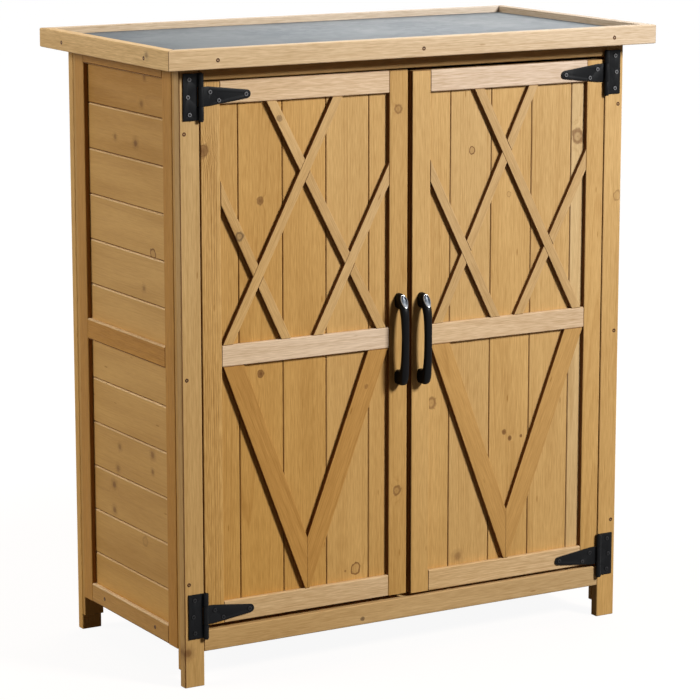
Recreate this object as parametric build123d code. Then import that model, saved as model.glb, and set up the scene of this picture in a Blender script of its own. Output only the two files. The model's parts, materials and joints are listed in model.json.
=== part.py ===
from build123d import *
import math
import os

# A low wooden tool cabinet: four plank posts, boarded sides and back, two hinged doors
# with lattice and V battens, and a flat roof with a metal sheet inside a wooden rim.
# Millimetres. X to the right, Y to the back, Z up. The origin is on the floor under the
# middle of the roof.

# Overall sizes
BODY_WIDTH = 800.0
BODY_DEPTH = 381.0
HEIGHT = 980.0

# Roof
ROOF_SIDE_OVERHANG = 35.5
ROOF_FRONT_OVERHANG = 39.0
ROOF_REAR_OVERHANG = 28.0
ROOF_RAIL_HEIGHT = 30.0
ROOF_RAIL_THICKNESS = 18.0
ROOF_RIM_HEIGHT = 10.0
ROOF_SHEET_THICKNESS = 1.0
ROOF_DECK_THICKNESS = 12.0
ROOF_DECK_BOARDS = 5

# Posts and front frame
POST_WIDTH = 34.0
POST_THICKNESS = 16.0
BACKING_THICKNESS = 8.0
BACKING_FLOOR_GAP = 25.0
BACKING_SIDE_INSET = 1.0
SILL_BOTTOM = 54.0
SILL_HEIGHT = 33.0
HEADER_HEIGHT = 27.0

# Side and back panels
PANEL_BATTEN_THICKNESS = 8.0
PANEL_BOARD_THICKNESS = 9.0
PANEL_BOTTOM = 57.0
PANEL_STILE_WIDTH = 31.0
PANEL_BOTTOM_RAIL_HEIGHT = 30.5
PANEL_MIDDLE_RAIL_HEIGHT = 33.0
PANEL_MIDDLE_RAIL_CENTRE = 507.5
PANEL_MIDDLE_SEAM = 504.0
PANEL_BOARD_PITCH = 72.0
PANEL_LOWEST_SEAM = 139.5
PANEL_HIGHEST_SEAM = 867.5

# Floor and shelf
FLOOR_BOARD_THICKNESS = 9.0
FLOOR_BOARDS = 5
FLOOR_NOTCH_CLEARANCE = 0.5
BEARER_WIDTH = 20.0
BEARER_HEIGHT = 18.0
SHELF_TOP = 520.0
SHELF_BOARD_THICKNESS = 10.0
SHELF_FRONT_SETBACK = 45.0
SHELF_BOARDS = 4
SHELF_END_CLEARANCE = 1.0
CLEAT_WIDTH = 16.0
CLEAT_HEIGHT = 18.0

# Doors
DOOR_SIDE_GAP = 1.5
DOOR_MEETING_GAP = 8.0
DOOR_TOP_GAP = 2.5
DOOR_BOTTOM_GAP = 7.5
RIGHT_DOOR_DROP = 2.5
DOOR_STILE_WIDTH = 33.5
DOOR_TOP_RAIL_HEIGHT = 34.0
DOOR_MIDDLE_RAIL_HEIGHT = 33.0
DOOR_MIDDLE_RAIL_CENTRE = 511.5
DOOR_BOTTOM_RAIL_HEIGHT = 34.0
DOOR_FRAME_THICKNESS = 7.5
DOOR_BOARD_THICKNESS = 9.0
DOOR_BOARD_PITCH = 76.0
DOOR_BOARD_SEAMS = 4
RIGHT_DOOR_SEAM_SHIFT = 7.8
LATTICE_WIDTH = 15.5
LEFT_LONG_FOOT = 10.0
LEFT_LONG_TOP = 55.5
LEFT_SHORT_HEIGHT = 241.0
LEFT_SHORT_RUN = 126.5
LEFT_CUT_LONG_FOOT = 13.5
LEFT_CUT_LONG_TOP = 59.5
LEFT_CUT_SHORT_HEIGHT = 232.5
LEFT_CUT_SHORT_RUN = 111.0
RIGHT_LONG_FOOT = 14.5
RIGHT_LONG_TOP = 57.5
RIGHT_SHORT_HEIGHT = 243.0
RIGHT_SHORT_RUN = 123.0
RIGHT_CUT_LONG_FOOT = 15.0
RIGHT_CUT_LONG_TOP = 44.0
RIGHT_CUT_SHORT_HEIGHT = 241.0
RIGHT_CUT_SHORT_RUN = 126.5
BRACE_WIDTH = 33.0
BRACE_CORNER_GAP = 2.0
BRACE_POINT_HALF = 4.0

# Hinges
UPPER_HINGE_DISTANCE = 21.0
LOWER_HINGE_DISTANCE = 17.5
RIGHT_LOWER_HINGE_DROP = 3.0
LEAF_HEIGHT = 70.0
LEAF_REACH = 28.0
HINGE_PLATE_THICKNESS = 2.0
KNUCKLE_RADIUS = 4.2
KNUCKLE_FACE_GAP = 0.3
KNUCKLE_END_GAP = 0.4
PIN_RADIUS = 2.5
PIN_CLEARANCE = 0.05
PIN_HEAD_RADIUS = 3.6
PIN_HEAD_HEIGHT = 2.0
STRAP_REACH = 85.0
STRAP_HEIGHT = 29.0
STRAP_PARALLEL = 14.0
STRAP_TIP_RADIUS = 6.5
LEAF_SCREW_SPACING = 26.0
LEAF_SCREW_REACH = 18.0
LEAF_MIDDLE_SCREW_REACH = 20.5
STRAP_SCREWS = ((16.5, 6.0), (31.0, -7.0), (77.0, 0.0))

# Handles
HANDLE_CENTRE = 508.5
HANDLE_LENGTH = 145.0
HANDLE_WIDTH = 14.0
HANDLE_PROJECTION = 28.0
HANDLE_END_PROJECTION = 26.0
HANDLE_BAR_THICKNESS = 11.0
HANDLE_FOOT_LENGTH = 25.0
HANDLE_END_RADIUS = 11.0
HANDLE_GAP_RADIUS = 6.0
HANDLE_EDGE_RADIUS = 4.0
CAP_TILT = 31.0
CAP_LENGTH = 24.0
CAP_WIDTH = 12.0
CAP_THICKNESS = 1.6
CAP_SEAT_DEPTH = 7.8
CAP_SEAT_DROP = 11.5

# Catches
CATCH_OFFSET = 36.0
CATCH_WIDTH = 30.0
CATCH_DEPTH = 16.0
CATCH_DROP = 22.0
CATCH_STRIKE_GAP = 0.3
CATCH_SEAT_HEIGHT = 20.0
STRIKE_THICKNESS = 1.5
STRIKE_MARGIN = 3.0

# Screws
SCREW_HEAD_RADIUS = 3.3
SCREW_HEAD_HEIGHT = 1.2
SCREW_HEAD_PROUD = 0.3
SCREW_SHANK_RADIUS = 1.6
SCREW_HOLE_RADIUS = 1.9
HINGE_SCREW_BITE = 9.0
FRAME_SCREW_BITE = 22.0
PANEL_SCREW_BITE = 13.0
ROOF_SCREW_BITE = 32.0
HANDLE_SCREW_BITE = 12.0
POST_SCREW_INSET = 8.5
POST_SCREW_HEIGHTS = (163.0, 481.0, 852.0)
ROOF_SCREW_INSET = 81.0
PANEL_SCREW_OFFSET = 90.0

# Easing of the long edges of the timber
EDGE_EASE = 1.2
BOARD_SEAM = 0.3
NARROWEST_BOARD = 5.0

# Planes worked out from the sizes
ROOF_WIDTH = BODY_WIDTH + 2 * ROOF_SIDE_OVERHANG
ROOF_DEPTH = BODY_DEPTH + ROOF_FRONT_OVERHANG + ROOF_REAR_OVERHANG
ROOF_HALF_WIDTH = ROOF_WIDTH / 2
ROOF_HALF_DEPTH = ROOF_DEPTH / 2
SHEET_TOP = HEIGHT - ROOF_RIM_HEIGHT
DECK_TOP = SHEET_TOP - ROOF_SHEET_THICKNESS
DECK_BOTTOM = DECK_TOP - ROOF_DECK_THICKNESS
DECK_HALF_WIDTH = ROOF_HALF_WIDTH - ROOF_RAIL_THICKNESS
DECK_HALF_DEPTH = ROOF_HALF_DEPTH - ROOF_RAIL_THICKNESS

FRONT = -ROOF_HALF_DEPTH + ROOF_FRONT_OVERHANG
REAR = ROOF_HALF_DEPTH - ROOF_REAR_OVERHANG
SIDE = BODY_WIDTH / 2
POST_INNER = SIDE - POST_WIDTH
FRONT_POST_BACK = FRONT + POST_THICKNESS
REAR_POST_FRONT = REAR - POST_THICKNESS
FRONT_BACKING_BACK = FRONT_POST_BACK + BACKING_THICKNESS
REAR_BACKING_FRONT = REAR_POST_FRONT - BACKING_THICKNESS
SILL_TOP = SILL_BOTTOM + SILL_HEIGHT
HEADER_BOTTOM = DECK_BOTTOM - HEADER_HEIGHT
SIDE_BOARD_OUTER = SIDE - PANEL_BATTEN_THICKNESS
SIDE_BOARD_INNER = SIDE_BOARD_OUTER - PANEL_BOARD_THICKNESS
BACK_BOARD_OUTER = REAR - PANEL_BATTEN_THICKNESS
BACK_BOARD_INNER = BACK_BOARD_OUTER - PANEL_BOARD_THICKNESS
PANEL_MIDDLE_BOTTOM = PANEL_MIDDLE_RAIL_CENTRE - PANEL_MIDDLE_RAIL_HEIGHT / 2

DOOR_HINGE_EDGE = -POST_INNER + DOOR_SIDE_GAP
DOOR_MEETING_EDGE = -DOOR_MEETING_GAP / 2
DOOR_BOTTOM = SILL_TOP + DOOR_BOTTOM_GAP
DOOR_TOP = HEADER_BOTTOM - DOOR_TOP_GAP
DOOR_BOARD_FRONT = FRONT + DOOR_FRAME_THICKNESS
DOOR_BACK = DOOR_BOARD_FRONT + DOOR_BOARD_THICKNESS
PANEL_LEFT = DOOR_HINGE_EDGE + DOOR_STILE_WIDTH
PANEL_RIGHT = DOOR_MEETING_EDGE - DOOR_STILE_WIDTH
PANEL_CENTRE = (PANEL_LEFT + PANEL_RIGHT) / 2
MIDDLE_RAIL_BOTTOM = DOOR_MIDDLE_RAIL_CENTRE - DOOR_MIDDLE_RAIL_HEIGHT / 2
MIDDLE_RAIL_TOP = DOOR_MIDDLE_RAIL_CENTRE + DOOR_MIDDLE_RAIL_HEIGHT / 2
TOP_RAIL_BOTTOM = DOOR_TOP - DOOR_TOP_RAIL_HEIGHT
BOTTOM_RAIL_TOP = DOOR_BOTTOM + DOOR_BOTTOM_RAIL_HEIGHT
HANDLE_X = DOOR_MEETING_EDGE - DOOR_STILE_WIDTH / 2

HINGE_X = -POST_INNER + DOOR_SIDE_GAP / 2
HINGE_Y = FRONT - KNUCKLE_RADIUS - KNUCKLE_FACE_GAP
LOWER_HINGE = DOOR_BOTTOM + LOWER_HINGE_DISTANCE
UPPER_HINGE = DOOR_TOP - UPPER_HINGE_DISTANCE
LEFT_HINGE_HEIGHTS = (LOWER_HINGE, UPPER_HINGE)
RIGHT_HINGE_HEIGHTS = (LOWER_HINGE - RIGHT_LOWER_HINGE_DROP, UPPER_HINGE)

nodes = {}


def block(x, y, z):
    """A plain box between the given pairs of limits."""
    size = Box(x[1] - x[0], y[1] - y[0], z[1] - z[0])
    return Pos(sum(x) / 2, sum(y) / 2, sum(z) / 2) * size


def plank(x, y, z, grain):
    """A board with the edges that run along its grain eased."""
    board = block(x, y, z)
    return chamfer(board.edges().filter_by(grain), EDGE_EASE)


def mirrored(shapes):
    """The same pieces on the other side of the cabinet's middle plane."""
    return [mirror(shape, about=Plane.YZ) for shape in shapes]


def on_right_door(shapes):
    """Pieces made for the left door, as the right door has them: mirrored and a little lower."""
    return [Pos(0, 0, -RIGHT_DOOR_DROP) * shape for shape in mirrored(shapes)]


def spread(low, high, count):
    """Limits of equal boards with a seam between neighbours."""
    step = (high - low + BOARD_SEAM) / count
    return [(low + i * step, low + (i + 1) * step - BOARD_SEAM) for i in range(count)]


def between_seams(low, high, seams):
    """Limits of boards that fill low to high and meet at the seams."""
    marks = [seam for seam in sorted(seams) if low + NARROWEST_BOARD < seam < high - NARROWEST_BOARD]
    starts = [low] + [mark + BOARD_SEAM / 2 for mark in marks]
    ends = [mark - BOARD_SEAM / 2 for mark in marks] + [high]
    return list(zip(starts, ends))


def screw(bite):
    """A screw along +Z: the head's underside at zero, the shank below it."""
    head = Pos(0, 0, SCREW_HEAD_HEIGHT / 2) * Cylinder(SCREW_HEAD_RADIUS, SCREW_HEAD_HEIGHT)
    shank = Pos(0, 0, -bite / 2) * Cylinder(SCREW_SHANK_RADIUS, bite)
    return head + shank


def screw_facing(direction, x, y, z, bite):
    """A screw whose head sits on a surface that faces the given direction."""
    return Plane(origin=(x, y, z), z_dir=direction) * screw(bite)


def sunk_screw_facing(direction, x, y, z, bite):
    """The same screw driven into the wood until its head is almost flush."""
    depth = SCREW_HEAD_HEIGHT - SCREW_HEAD_PROUD
    return Plane(origin=(x, y, z), z_dir=direction) * Pos(0, 0, -depth) * screw(bite)


FRONTWARD = (0, -1, 0)
BACKWARD = (0, 1, 0)
LEFTWARD = (-1, 0, 0)


def make_posts():
    left = (-SIDE, -POST_INNER)
    front = plank(left, (FRONT, FRONT_POST_BACK), (0, DECK_BOTTOM), Axis.Z)
    rear = plank(left, (REAR_POST_FRONT, REAR), (0, DECK_BOTTOM), Axis.Z)
    strip = (-SIDE + BACKING_SIDE_INSET, -POST_INNER)
    height = (BACKING_FLOOR_GAP, DECK_BOTTOM)
    backing = [
        block(strip, (FRONT_POST_BACK, FRONT_BACKING_BACK), height),
        block(strip, (REAR_BACKING_FRONT, REAR_POST_FRONT), height),
    ]
    nodes["front_left_post"] = [front]
    nodes["front_right_post"] = mirrored([front])
    nodes["rear_left_post"] = [rear]
    nodes["rear_right_post"] = mirrored([rear])
    nodes["post_backing_strips"] = backing + mirrored(backing)


def make_front_rails():
    span = (-POST_INNER, POST_INNER)
    depth = (FRONT, FRONT_POST_BACK)
    nodes["front_top_rail"] = [plank(span, depth, (HEADER_BOTTOM, DECK_BOTTOM), Axis.X)]
    nodes["front_bottom_rail"] = [plank(span, depth, (SILL_BOTTOM, SILL_TOP), Axis.X)]


def panel_levels():
    """Heights of the bottom, middle and top rail of a side or back panel."""
    return [
        (PANEL_BOTTOM, PANEL_BOTTOM + PANEL_BOTTOM_RAIL_HEIGHT),
        (PANEL_MIDDLE_BOTTOM, PANEL_MIDDLE_BOTTOM + PANEL_MIDDLE_RAIL_HEIGHT),
        (HEADER_BOTTOM, DECK_BOTTOM),
    ]


def panel_rows():
    """Heights of the panel boards: one field grows from the bottom, one from the top."""
    seams = [PANEL_MIDDLE_SEAM]
    level = PANEL_LOWEST_SEAM
    while level < PANEL_MIDDLE_SEAM - PANEL_BOARD_PITCH / 2:
        seams.append(level)
        level += PANEL_BOARD_PITCH
    level = PANEL_HIGHEST_SEAM
    while level > PANEL_MIDDLE_SEAM + PANEL_BOARD_PITCH / 2:
        seams.append(level)
        level -= PANEL_BOARD_PITCH
    return between_seams(PANEL_BOTTOM, DECK_BOTTOM, seams)


def make_side_panels():
    batten = (-SIDE, -SIDE_BOARD_OUTER)
    front_stile = (FRONT_BACKING_BACK, FRONT_BACKING_BACK + PANEL_STILE_WIDTH)
    rear_stile = (REAR_BACKING_FRONT - PANEL_STILE_WIDTH, REAR_BACKING_FRONT)
    height = (PANEL_BOTTOM, DECK_BOTTOM)
    stiles = [plank(batten, stile, height, Axis.Z) for stile in (front_stile, rear_stile)]
    reach = (front_stile[1], rear_stile[0])
    rails = [plank(batten, reach, level, Axis.Y) for level in panel_levels()]
    layer = (-SIDE_BOARD_OUTER, -SIDE_BOARD_INNER)
    depth = (FRONT_BACKING_BACK, REAR_BACKING_FRONT)
    boards = [plank(layer, depth, row, Axis.Y) for row in panel_rows()]
    for name, pieces in (("stiles", stiles), ("rails", rails), ("boards", boards)):
        nodes["left_side_" + name] = pieces
        nodes["right_side_" + name] = mirrored(pieces)


def make_back_panel():
    span = (-POST_INNER, POST_INNER)
    batten = (BACK_BOARD_OUTER, REAR)
    layer = (BACK_BOARD_INNER, BACK_BOARD_OUTER)
    nodes["back_rails"] = [plank(span, batten, level, Axis.X) for level in panel_levels()]
    nodes["back_boards"] = [plank(span, layer, row, Axis.X) for row in panel_rows()]


def make_floor():
    level = (SILL_TOP - FLOOR_BOARD_THICKNESS, SILL_TOP)
    rows = spread(FRONT_POST_BACK, BACK_BOARD_INNER, FLOOR_BOARDS)
    width = (-SIDE_BOARD_INNER, SIDE_BOARD_INNER)
    corner = (POST_INNER - FLOOR_NOTCH_CLEARANCE, SIDE)
    notches = [
        block(corner, (FRONT, FRONT_BACKING_BACK + FLOOR_NOTCH_CLEARANCE), level),
        block(corner, (REAR_BACKING_FRONT - FLOOR_NOTCH_CLEARANCE, REAR), level),
    ]
    boards = []
    for row in rows:
        board = plank(width, row, level, Axis.X)
        for notch in notches + mirrored(notches):
            board -= notch
        boards.append(board)
    under = (level[0] - BEARER_HEIGHT, level[0])
    span = (-POST_INNER, POST_INNER)
    nodes["floor_boards"] = boards
    nodes["floor_bearers"] = [
        plank(span, (FRONT_POST_BACK, FRONT_POST_BACK + BEARER_WIDTH), under, Axis.X),
        plank(span, (BACK_BOARD_INNER - BEARER_WIDTH, BACK_BOARD_INNER), under, Axis.X),
    ]


def make_shelf():
    half = SIDE_BOARD_INNER - SHELF_END_CLEARANCE
    level = (SHELF_TOP - SHELF_BOARD_THICKNESS, SHELF_TOP)
    depth = (FRONT + SHELF_FRONT_SETBACK, REAR_BACKING_FRONT)
    rows = spread(depth[0], depth[1], SHELF_BOARDS)
    nodes["shelf_boards"] = [plank((-half, half), row, level, Axis.X) for row in rows]
    cleat = plank(
        (-SIDE_BOARD_INNER, -SIDE_BOARD_INNER + CLEAT_WIDTH), depth,
        (level[0] - CLEAT_HEIGHT, level[0]), Axis.Y,
    )
    nodes["shelf_cleats"] = [cleat] + mirrored([cleat])


def mitred_rail(length, width):
    """A rail along X whose ends are cut at 45 degrees, its outer edge at -Y."""
    outline = Polyline(
        (-length / 2, -width / 2), (length / 2, -width / 2),
        (length / 2 - ROOF_RAIL_THICKNESS, -width / 2 + ROOF_RAIL_THICKNESS),
        (-length / 2 + ROOF_RAIL_THICKNESS, -width / 2 + ROOF_RAIL_THICKNESS), close=True,
    )
    rail = extrude(make_face(outline), ROOF_RAIL_HEIGHT)
    outer = rail.edges().filter_by(Axis.X).group_by(Axis.Y)[0]
    return Pos(0, 0, HEIGHT - ROOF_RAIL_HEIGHT) * chamfer(outer, EDGE_EASE)


def make_roof():
    front = mitred_rail(ROOF_WIDTH, ROOF_DEPTH)
    left = Rot(0, 0, -90) * mitred_rail(ROOF_DEPTH, ROOF_WIDTH)
    nodes["roof_front_rail"] = [front]
    nodes["roof_rear_rail"] = [mirror(front, about=Plane.XZ)]
    nodes["roof_left_rail"] = [left]
    nodes["roof_right_rail"] = mirrored([left])
    span = (-DECK_HALF_WIDTH, DECK_HALF_WIDTH)
    rows = spread(-DECK_HALF_DEPTH, DECK_HALF_DEPTH, ROOF_DECK_BOARDS)
    nodes["roof_deck_boards"] = [plank(span, row, (DECK_BOTTOM, DECK_TOP), Axis.X) for row in rows]
    nodes["roof_sheet"] = [block(span, (-DECK_HALF_DEPTH, DECK_HALF_DEPTH), (DECK_TOP, SHEET_TOP))]


def knuckle(low, high):
    """A hinge knuckle on the pin's axis, with its bore left for later."""
    return Pos(HINGE_X, HINGE_Y, (low + high) / 2) * Cylinder(KNUCKLE_RADIUS, high - low)


def pin_bore(low, high):
    return Pos(HINGE_X, HINGE_Y, (low + high) / 2) * Cylinder(PIN_RADIUS + PIN_CLEARANCE, high - low)


def plate_hole(x, z):
    plane = Plane(origin=(x, FRONT, z), z_dir=FRONTWARD)
    return plane * Cylinder(SCREW_HOLE_RADIUS, HINGE_PLATE_THICKNESS * 4)


def leaf_screw_places(height):
    edge = HINGE_X - LEAF_SCREW_REACH
    middle = HINGE_X - LEAF_MIDDLE_SCREW_REACH
    return [
        (edge, height - LEAF_SCREW_SPACING), (middle, height), (edge, height + LEAF_SCREW_SPACING)
    ]


def strap_screw_places(height):
    return [(HINGE_X + along, height + rise) for along, rise in STRAP_SCREWS]


def hinge_leaf(height):
    """The post's half of a hinge: a plate with one knuckle above and one below the strap's."""
    low = height - LEAF_HEIGHT / 2
    high = height + LEAF_HEIGHT / 2
    notch = STRAP_HEIGHT / 2 + KNUCKLE_END_GAP
    depth = (FRONT - HINGE_PLATE_THICKNESS, FRONT)
    plate = block((HINGE_X - LEAF_REACH, HINGE_X), depth, (low, high))
    plate -= block(
        (HINGE_X - KNUCKLE_RADIUS - KNUCKLE_END_GAP, HINGE_X + KNUCKLE_RADIUS),
        (HINGE_Y - KNUCKLE_RADIUS, FRONT), (height - notch, height + notch),
    )
    leaf = plate + knuckle(low, height - notch) + knuckle(height + notch, high)
    leaf -= pin_bore(low, high)
    for x, z in leaf_screw_places(height):
        leaf -= plate_hole(x, z)
    return leaf


def hinge_strap(height):
    """The door's half of a hinge: a tapered strap with a round tip and one knuckle."""
    half = STRAP_HEIGHT / 2
    tip = STRAP_REACH - STRAP_TIP_RADIUS
    base = Polyline((0, -half), (STRAP_PARALLEL, -half), (STRAP_PARALLEL, half), (0, half), close=True)
    taper = make_hull([
        Line((STRAP_PARALLEL, -half), (STRAP_PARALLEL, half)),
        Pos(tip, 0) * Edge.make_circle(STRAP_TIP_RADIUS),
    ])
    outline = make_face(base) + taper
    face = Plane(origin=(HINGE_X, FRONT, height), x_dir=(1, 0, 0), z_dir=FRONTWARD)
    strap = extrude(face * outline, HINGE_PLATE_THICKNESS)
    strap += knuckle(height - half, height + half)
    strap -= pin_bore(height - half, height + half)
    for x, z in strap_screw_places(height):
        strap -= plate_hole(x, z)
    return strap


def hinge_pin(height):
    """A headed pin that runs through the three knuckles."""
    length = LEAF_HEIGHT + PIN_HEAD_HEIGHT
    shaft = Pos(HINGE_X, HINGE_Y, height) * Cylinder(PIN_RADIUS, length)
    middle = height - LEAF_HEIGHT / 2 - PIN_HEAD_HEIGHT / 2
    head = Pos(HINGE_X, HINGE_Y, middle) * Cylinder(PIN_HEAD_RADIUS, PIN_HEAD_HEIGHT)
    return shaft + head


def hinge_set(heights):
    """The two hinges of one door, with their screws, by the names of their nodes."""
    plate_front = FRONT - HINGE_PLATE_THICKNESS
    leaf_screws = []
    strap_screws = []
    for height in heights:
        for x, z in leaf_screw_places(height):
            leaf_screws.append(screw_facing(FRONTWARD, x, plate_front, z, HINGE_SCREW_BITE))
        for x, z in strap_screw_places(height):
            strap_screws.append(screw_facing(FRONTWARD, x, plate_front, z, HINGE_SCREW_BITE))
    return {
        "hinge_leaves": [hinge_leaf(height) for height in heights],
        "hinge_straps": [hinge_strap(height) for height in heights],
        "hinge_pins": [hinge_pin(height) for height in heights],
        "hinge_leaf_screws": leaf_screws,
        "strap_screws": strap_screws,
    }


def make_hinges():
    left = hinge_set(LEFT_HINGE_HEIGHTS)
    right = hinge_set(RIGHT_HINGE_HEIGHTS)
    nodes["left_hinge_leaves"] = left["hinge_leaves"]
    nodes["right_hinge_leaves"] = on_right_door(right["hinge_leaves"])
    for name in ("hinge_pins", "hinge_leaf_screws"):
        nodes[name] = left[name] + on_right_door(right[name])
    for name in ("hinge_straps", "strap_screws"):
        add_to_doors(name, left[name], right[name])


def add_to_doors(name, pieces, right_pieces=None):
    """Give the left door these pieces, and the right door its own or the same, on its side."""
    nodes["left_door_" + name] = pieces
    nodes["right_door_" + name] = on_right_door(right_pieces or pieces)


def make_door_frame():
    depth = (FRONT, DOOR_BOARD_FRONT)
    height = (DOOR_BOTTOM, DOOR_TOP)
    inside = (PANEL_LEFT, PANEL_RIGHT)
    add_to_doors("hinge_stile", [plank((DOOR_HINGE_EDGE, PANEL_LEFT), depth, height, Axis.Z)])
    add_to_doors("meeting_stile", [plank((PANEL_RIGHT, DOOR_MEETING_EDGE), depth, height, Axis.Z)])
    add_to_doors("top_rail", [plank(inside, depth, (TOP_RAIL_BOTTOM, DOOR_TOP), Axis.X)])
    add_to_doors("middle_rail", [plank(inside, depth, (MIDDLE_RAIL_BOTTOM, MIDDLE_RAIL_TOP), Axis.X)])
    add_to_doors("bottom_rail", [plank(inside, depth, (DOOR_BOTTOM, BOTTOM_RAIL_TOP), Axis.X)])


def door_boards(shift):
    """Upright boards of a door, the row of seams moved towards the hinges by the shift."""
    layer = (DOOR_BOARD_FRONT, DOOR_BACK)
    height = (DOOR_BOTTOM, DOOR_TOP)
    middle = (DOOR_HINGE_EDGE + DOOR_MEETING_EDGE) / 2 - shift
    first = middle - (DOOR_BOARD_SEAMS - 1) / 2 * DOOR_BOARD_PITCH
    seams = [first + i * DOOR_BOARD_PITCH for i in range(DOOR_BOARD_SEAMS)]
    columns = between_seams(DOOR_HINGE_EDGE, DOOR_MEETING_EDGE, seams)
    return [plank(column, layer, height, Axis.Z) for column in columns]


def make_door_boards():
    add_to_doors("boards", door_boards(0), door_boards(RIGHT_DOOR_SEAM_SHIFT))


def leaning_strip(x, z, lean, width, length):
    """A batten on the boards whose middle line passes x, z and leans from upright towards +X."""
    strip = Box(width, DOOR_FRAME_THICKNESS, length)
    return Pos(x, (FRONT + DOOR_BOARD_FRONT) / 2, z) * Rot(0, lean, 0) * strip


def panel_strip(x, z, run, rise):
    """A lattice strip through x, z that leans by run over rise, within the upper panel."""
    window = block((PANEL_LEFT, PANEL_RIGHT), (FRONT, DOOR_BOARD_FRONT), (MIDDLE_RAIL_TOP, TOP_RAIL_BOTTOM))
    length = 3 * math.hypot(PANEL_RIGHT - PANEL_LEFT, TOP_RAIL_BOTTOM - MIDDLE_RAIL_TOP)
    lean = math.degrees(math.atan2(run, rise))
    return leaning_strip(x, z, lean, LATTICE_WIDTH, length) & window


def long_strip(foot, top):
    """A strip from beside the hinge stile to past the middle of the top rail."""
    x = PANEL_LEFT + foot
    return panel_strip(x, MIDDLE_RAIL_TOP, PANEL_CENTRE + top - x, TOP_RAIL_BOTTOM - MIDDLE_RAIL_TOP)


def short_strip(height, run):
    """A strip from the middle rail up to the meeting stile."""
    return panel_strip(PANEL_RIGHT, MIDDLE_RAIL_TOP + height, run, height)


def lattice(through, leaning_back):
    """Strips that run through, and strips that lean the other way and are cut where they cross."""
    pieces = list(through)
    for strip in leaning_back:
        crossing = mirror(strip, about=Plane.YZ.offset(PANEL_CENTRE))
        for over in through:
            crossing -= over
        pieces.extend(crossing.solids())
    return pieces


def make_lattice():
    left_through = [long_strip(LEFT_LONG_FOOT, LEFT_LONG_TOP), short_strip(LEFT_SHORT_HEIGHT, LEFT_SHORT_RUN)]
    left_cut = [
        long_strip(LEFT_CUT_LONG_FOOT, LEFT_CUT_LONG_TOP),
        short_strip(LEFT_CUT_SHORT_HEIGHT, LEFT_CUT_SHORT_RUN),
    ]
    right_through = [
        long_strip(RIGHT_LONG_FOOT, RIGHT_LONG_TOP), short_strip(RIGHT_SHORT_HEIGHT, RIGHT_SHORT_RUN)
    ]
    right_cut = [
        long_strip(RIGHT_CUT_LONG_FOOT, RIGHT_CUT_LONG_TOP),
        short_strip(RIGHT_CUT_SHORT_HEIGHT, RIGHT_CUT_SHORT_RUN),
    ]
    add_to_doors("lattice", lattice(left_through, left_cut), lattice(right_through, right_cut))


def make_braces():
    low = BOTTOM_RAIL_TOP
    high = MIDDLE_RAIL_BOTTOM
    half_panel = block((PANEL_LEFT, PANEL_CENTRE), (FRONT, DOOR_BOARD_FRONT), (low, high))
    run = PANEL_CENTRE - BRACE_POINT_HALF - PANEL_LEFT - BRACE_CORNER_GAP
    lean = math.atan2(run, low - high)
    across = BRACE_WIDTH / 2 / abs(math.cos(lean))
    length = 3 * math.hypot(run, high - low)
    corner = PANEL_LEFT + BRACE_CORNER_GAP + across
    brace = leaning_strip(corner, high, math.degrees(lean), BRACE_WIDTH, length) & half_panel
    add_to_doors("braces", [brace, mirror(brace, about=Plane.YZ.offset(PANEL_CENTRE))])


def bowed_outline(end, reach, middle_reach, radius):
    """A bow seen from the side: X away from the door, Y up, its two outer corners rounded."""
    face = make_face([
        Line((0, -end), (reach, -end)),
        ThreePointArc((reach, -end), (middle_reach, 0), (reach, end)),
        Line((reach, end), (0, end)),
        Line((0, end), (0, -end)),
    ])
    return fillet(face.vertices().group_by(Axis.X)[-1], radius)


def handle_body():
    end = HANDLE_LENGTH / 2
    bar = HANDLE_BAR_THICKNESS
    bow = bowed_outline(end, HANDLE_END_PROJECTION, HANDLE_PROJECTION, HANDLE_END_RADIUS)
    gap = bowed_outline(
        end - HANDLE_FOOT_LENGTH, HANDLE_END_PROJECTION - bar, HANDLE_PROJECTION - bar, HANDLE_GAP_RADIUS
    )
    side = Plane(origin=(HANDLE_X, FRONT, HANDLE_CENTRE), x_dir=FRONTWARD, z_dir=(-1, 0, 0))
    body = extrude(side * (bow - gap), HANDLE_WIDTH / 2, both=True)
    rims = [edge for edge in body.edges() if edge.bounding_box().size.X < EDGE_EASE]
    free_rims = [edge for edge in rims if edge.bounding_box().min.Y < FRONT - EDGE_EASE]
    return fillet(free_rims, HANDLE_EDGE_RADIUS)


def make_handles():
    tilt = math.radians(CAP_TILT)
    seat = Plane(
        origin=(
            HANDLE_X, FRONT - HANDLE_END_PROJECTION + CAP_SEAT_DEPTH,
            HANDLE_CENTRE + HANDLE_LENGTH / 2 - CAP_SEAT_DROP,
        ),
        x_dir=(1, 0, 0), z_dir=(0, -math.cos(tilt), math.sin(tilt)),
    )
    shave = extrude(seat * Rectangle(2 * HANDLE_WIDTH, 2 * CAP_LENGTH), HANDLE_PROJECTION)
    add_to_doors("handle", [handle_body() - shave])
    add_to_doors("handle_cap", [extrude(seat * Ellipse(CAP_WIDTH / 2, CAP_LENGTH / 2), CAP_THICKNESS)])
    offset = HANDLE_LENGTH / 2 - HANDLE_FOOT_LENGTH / 2
    reach = DOOR_FRAME_THICKNESS + DOOR_BOARD_THICKNESS + HANDLE_SCREW_BITE
    screws = []
    for place in (-offset, offset):
        screws.append(screw_facing(BACKWARD, HANDLE_X, DOOR_BACK, HANDLE_CENTRE + place, reach))
    add_to_doors("handle_screws", screws)


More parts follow.
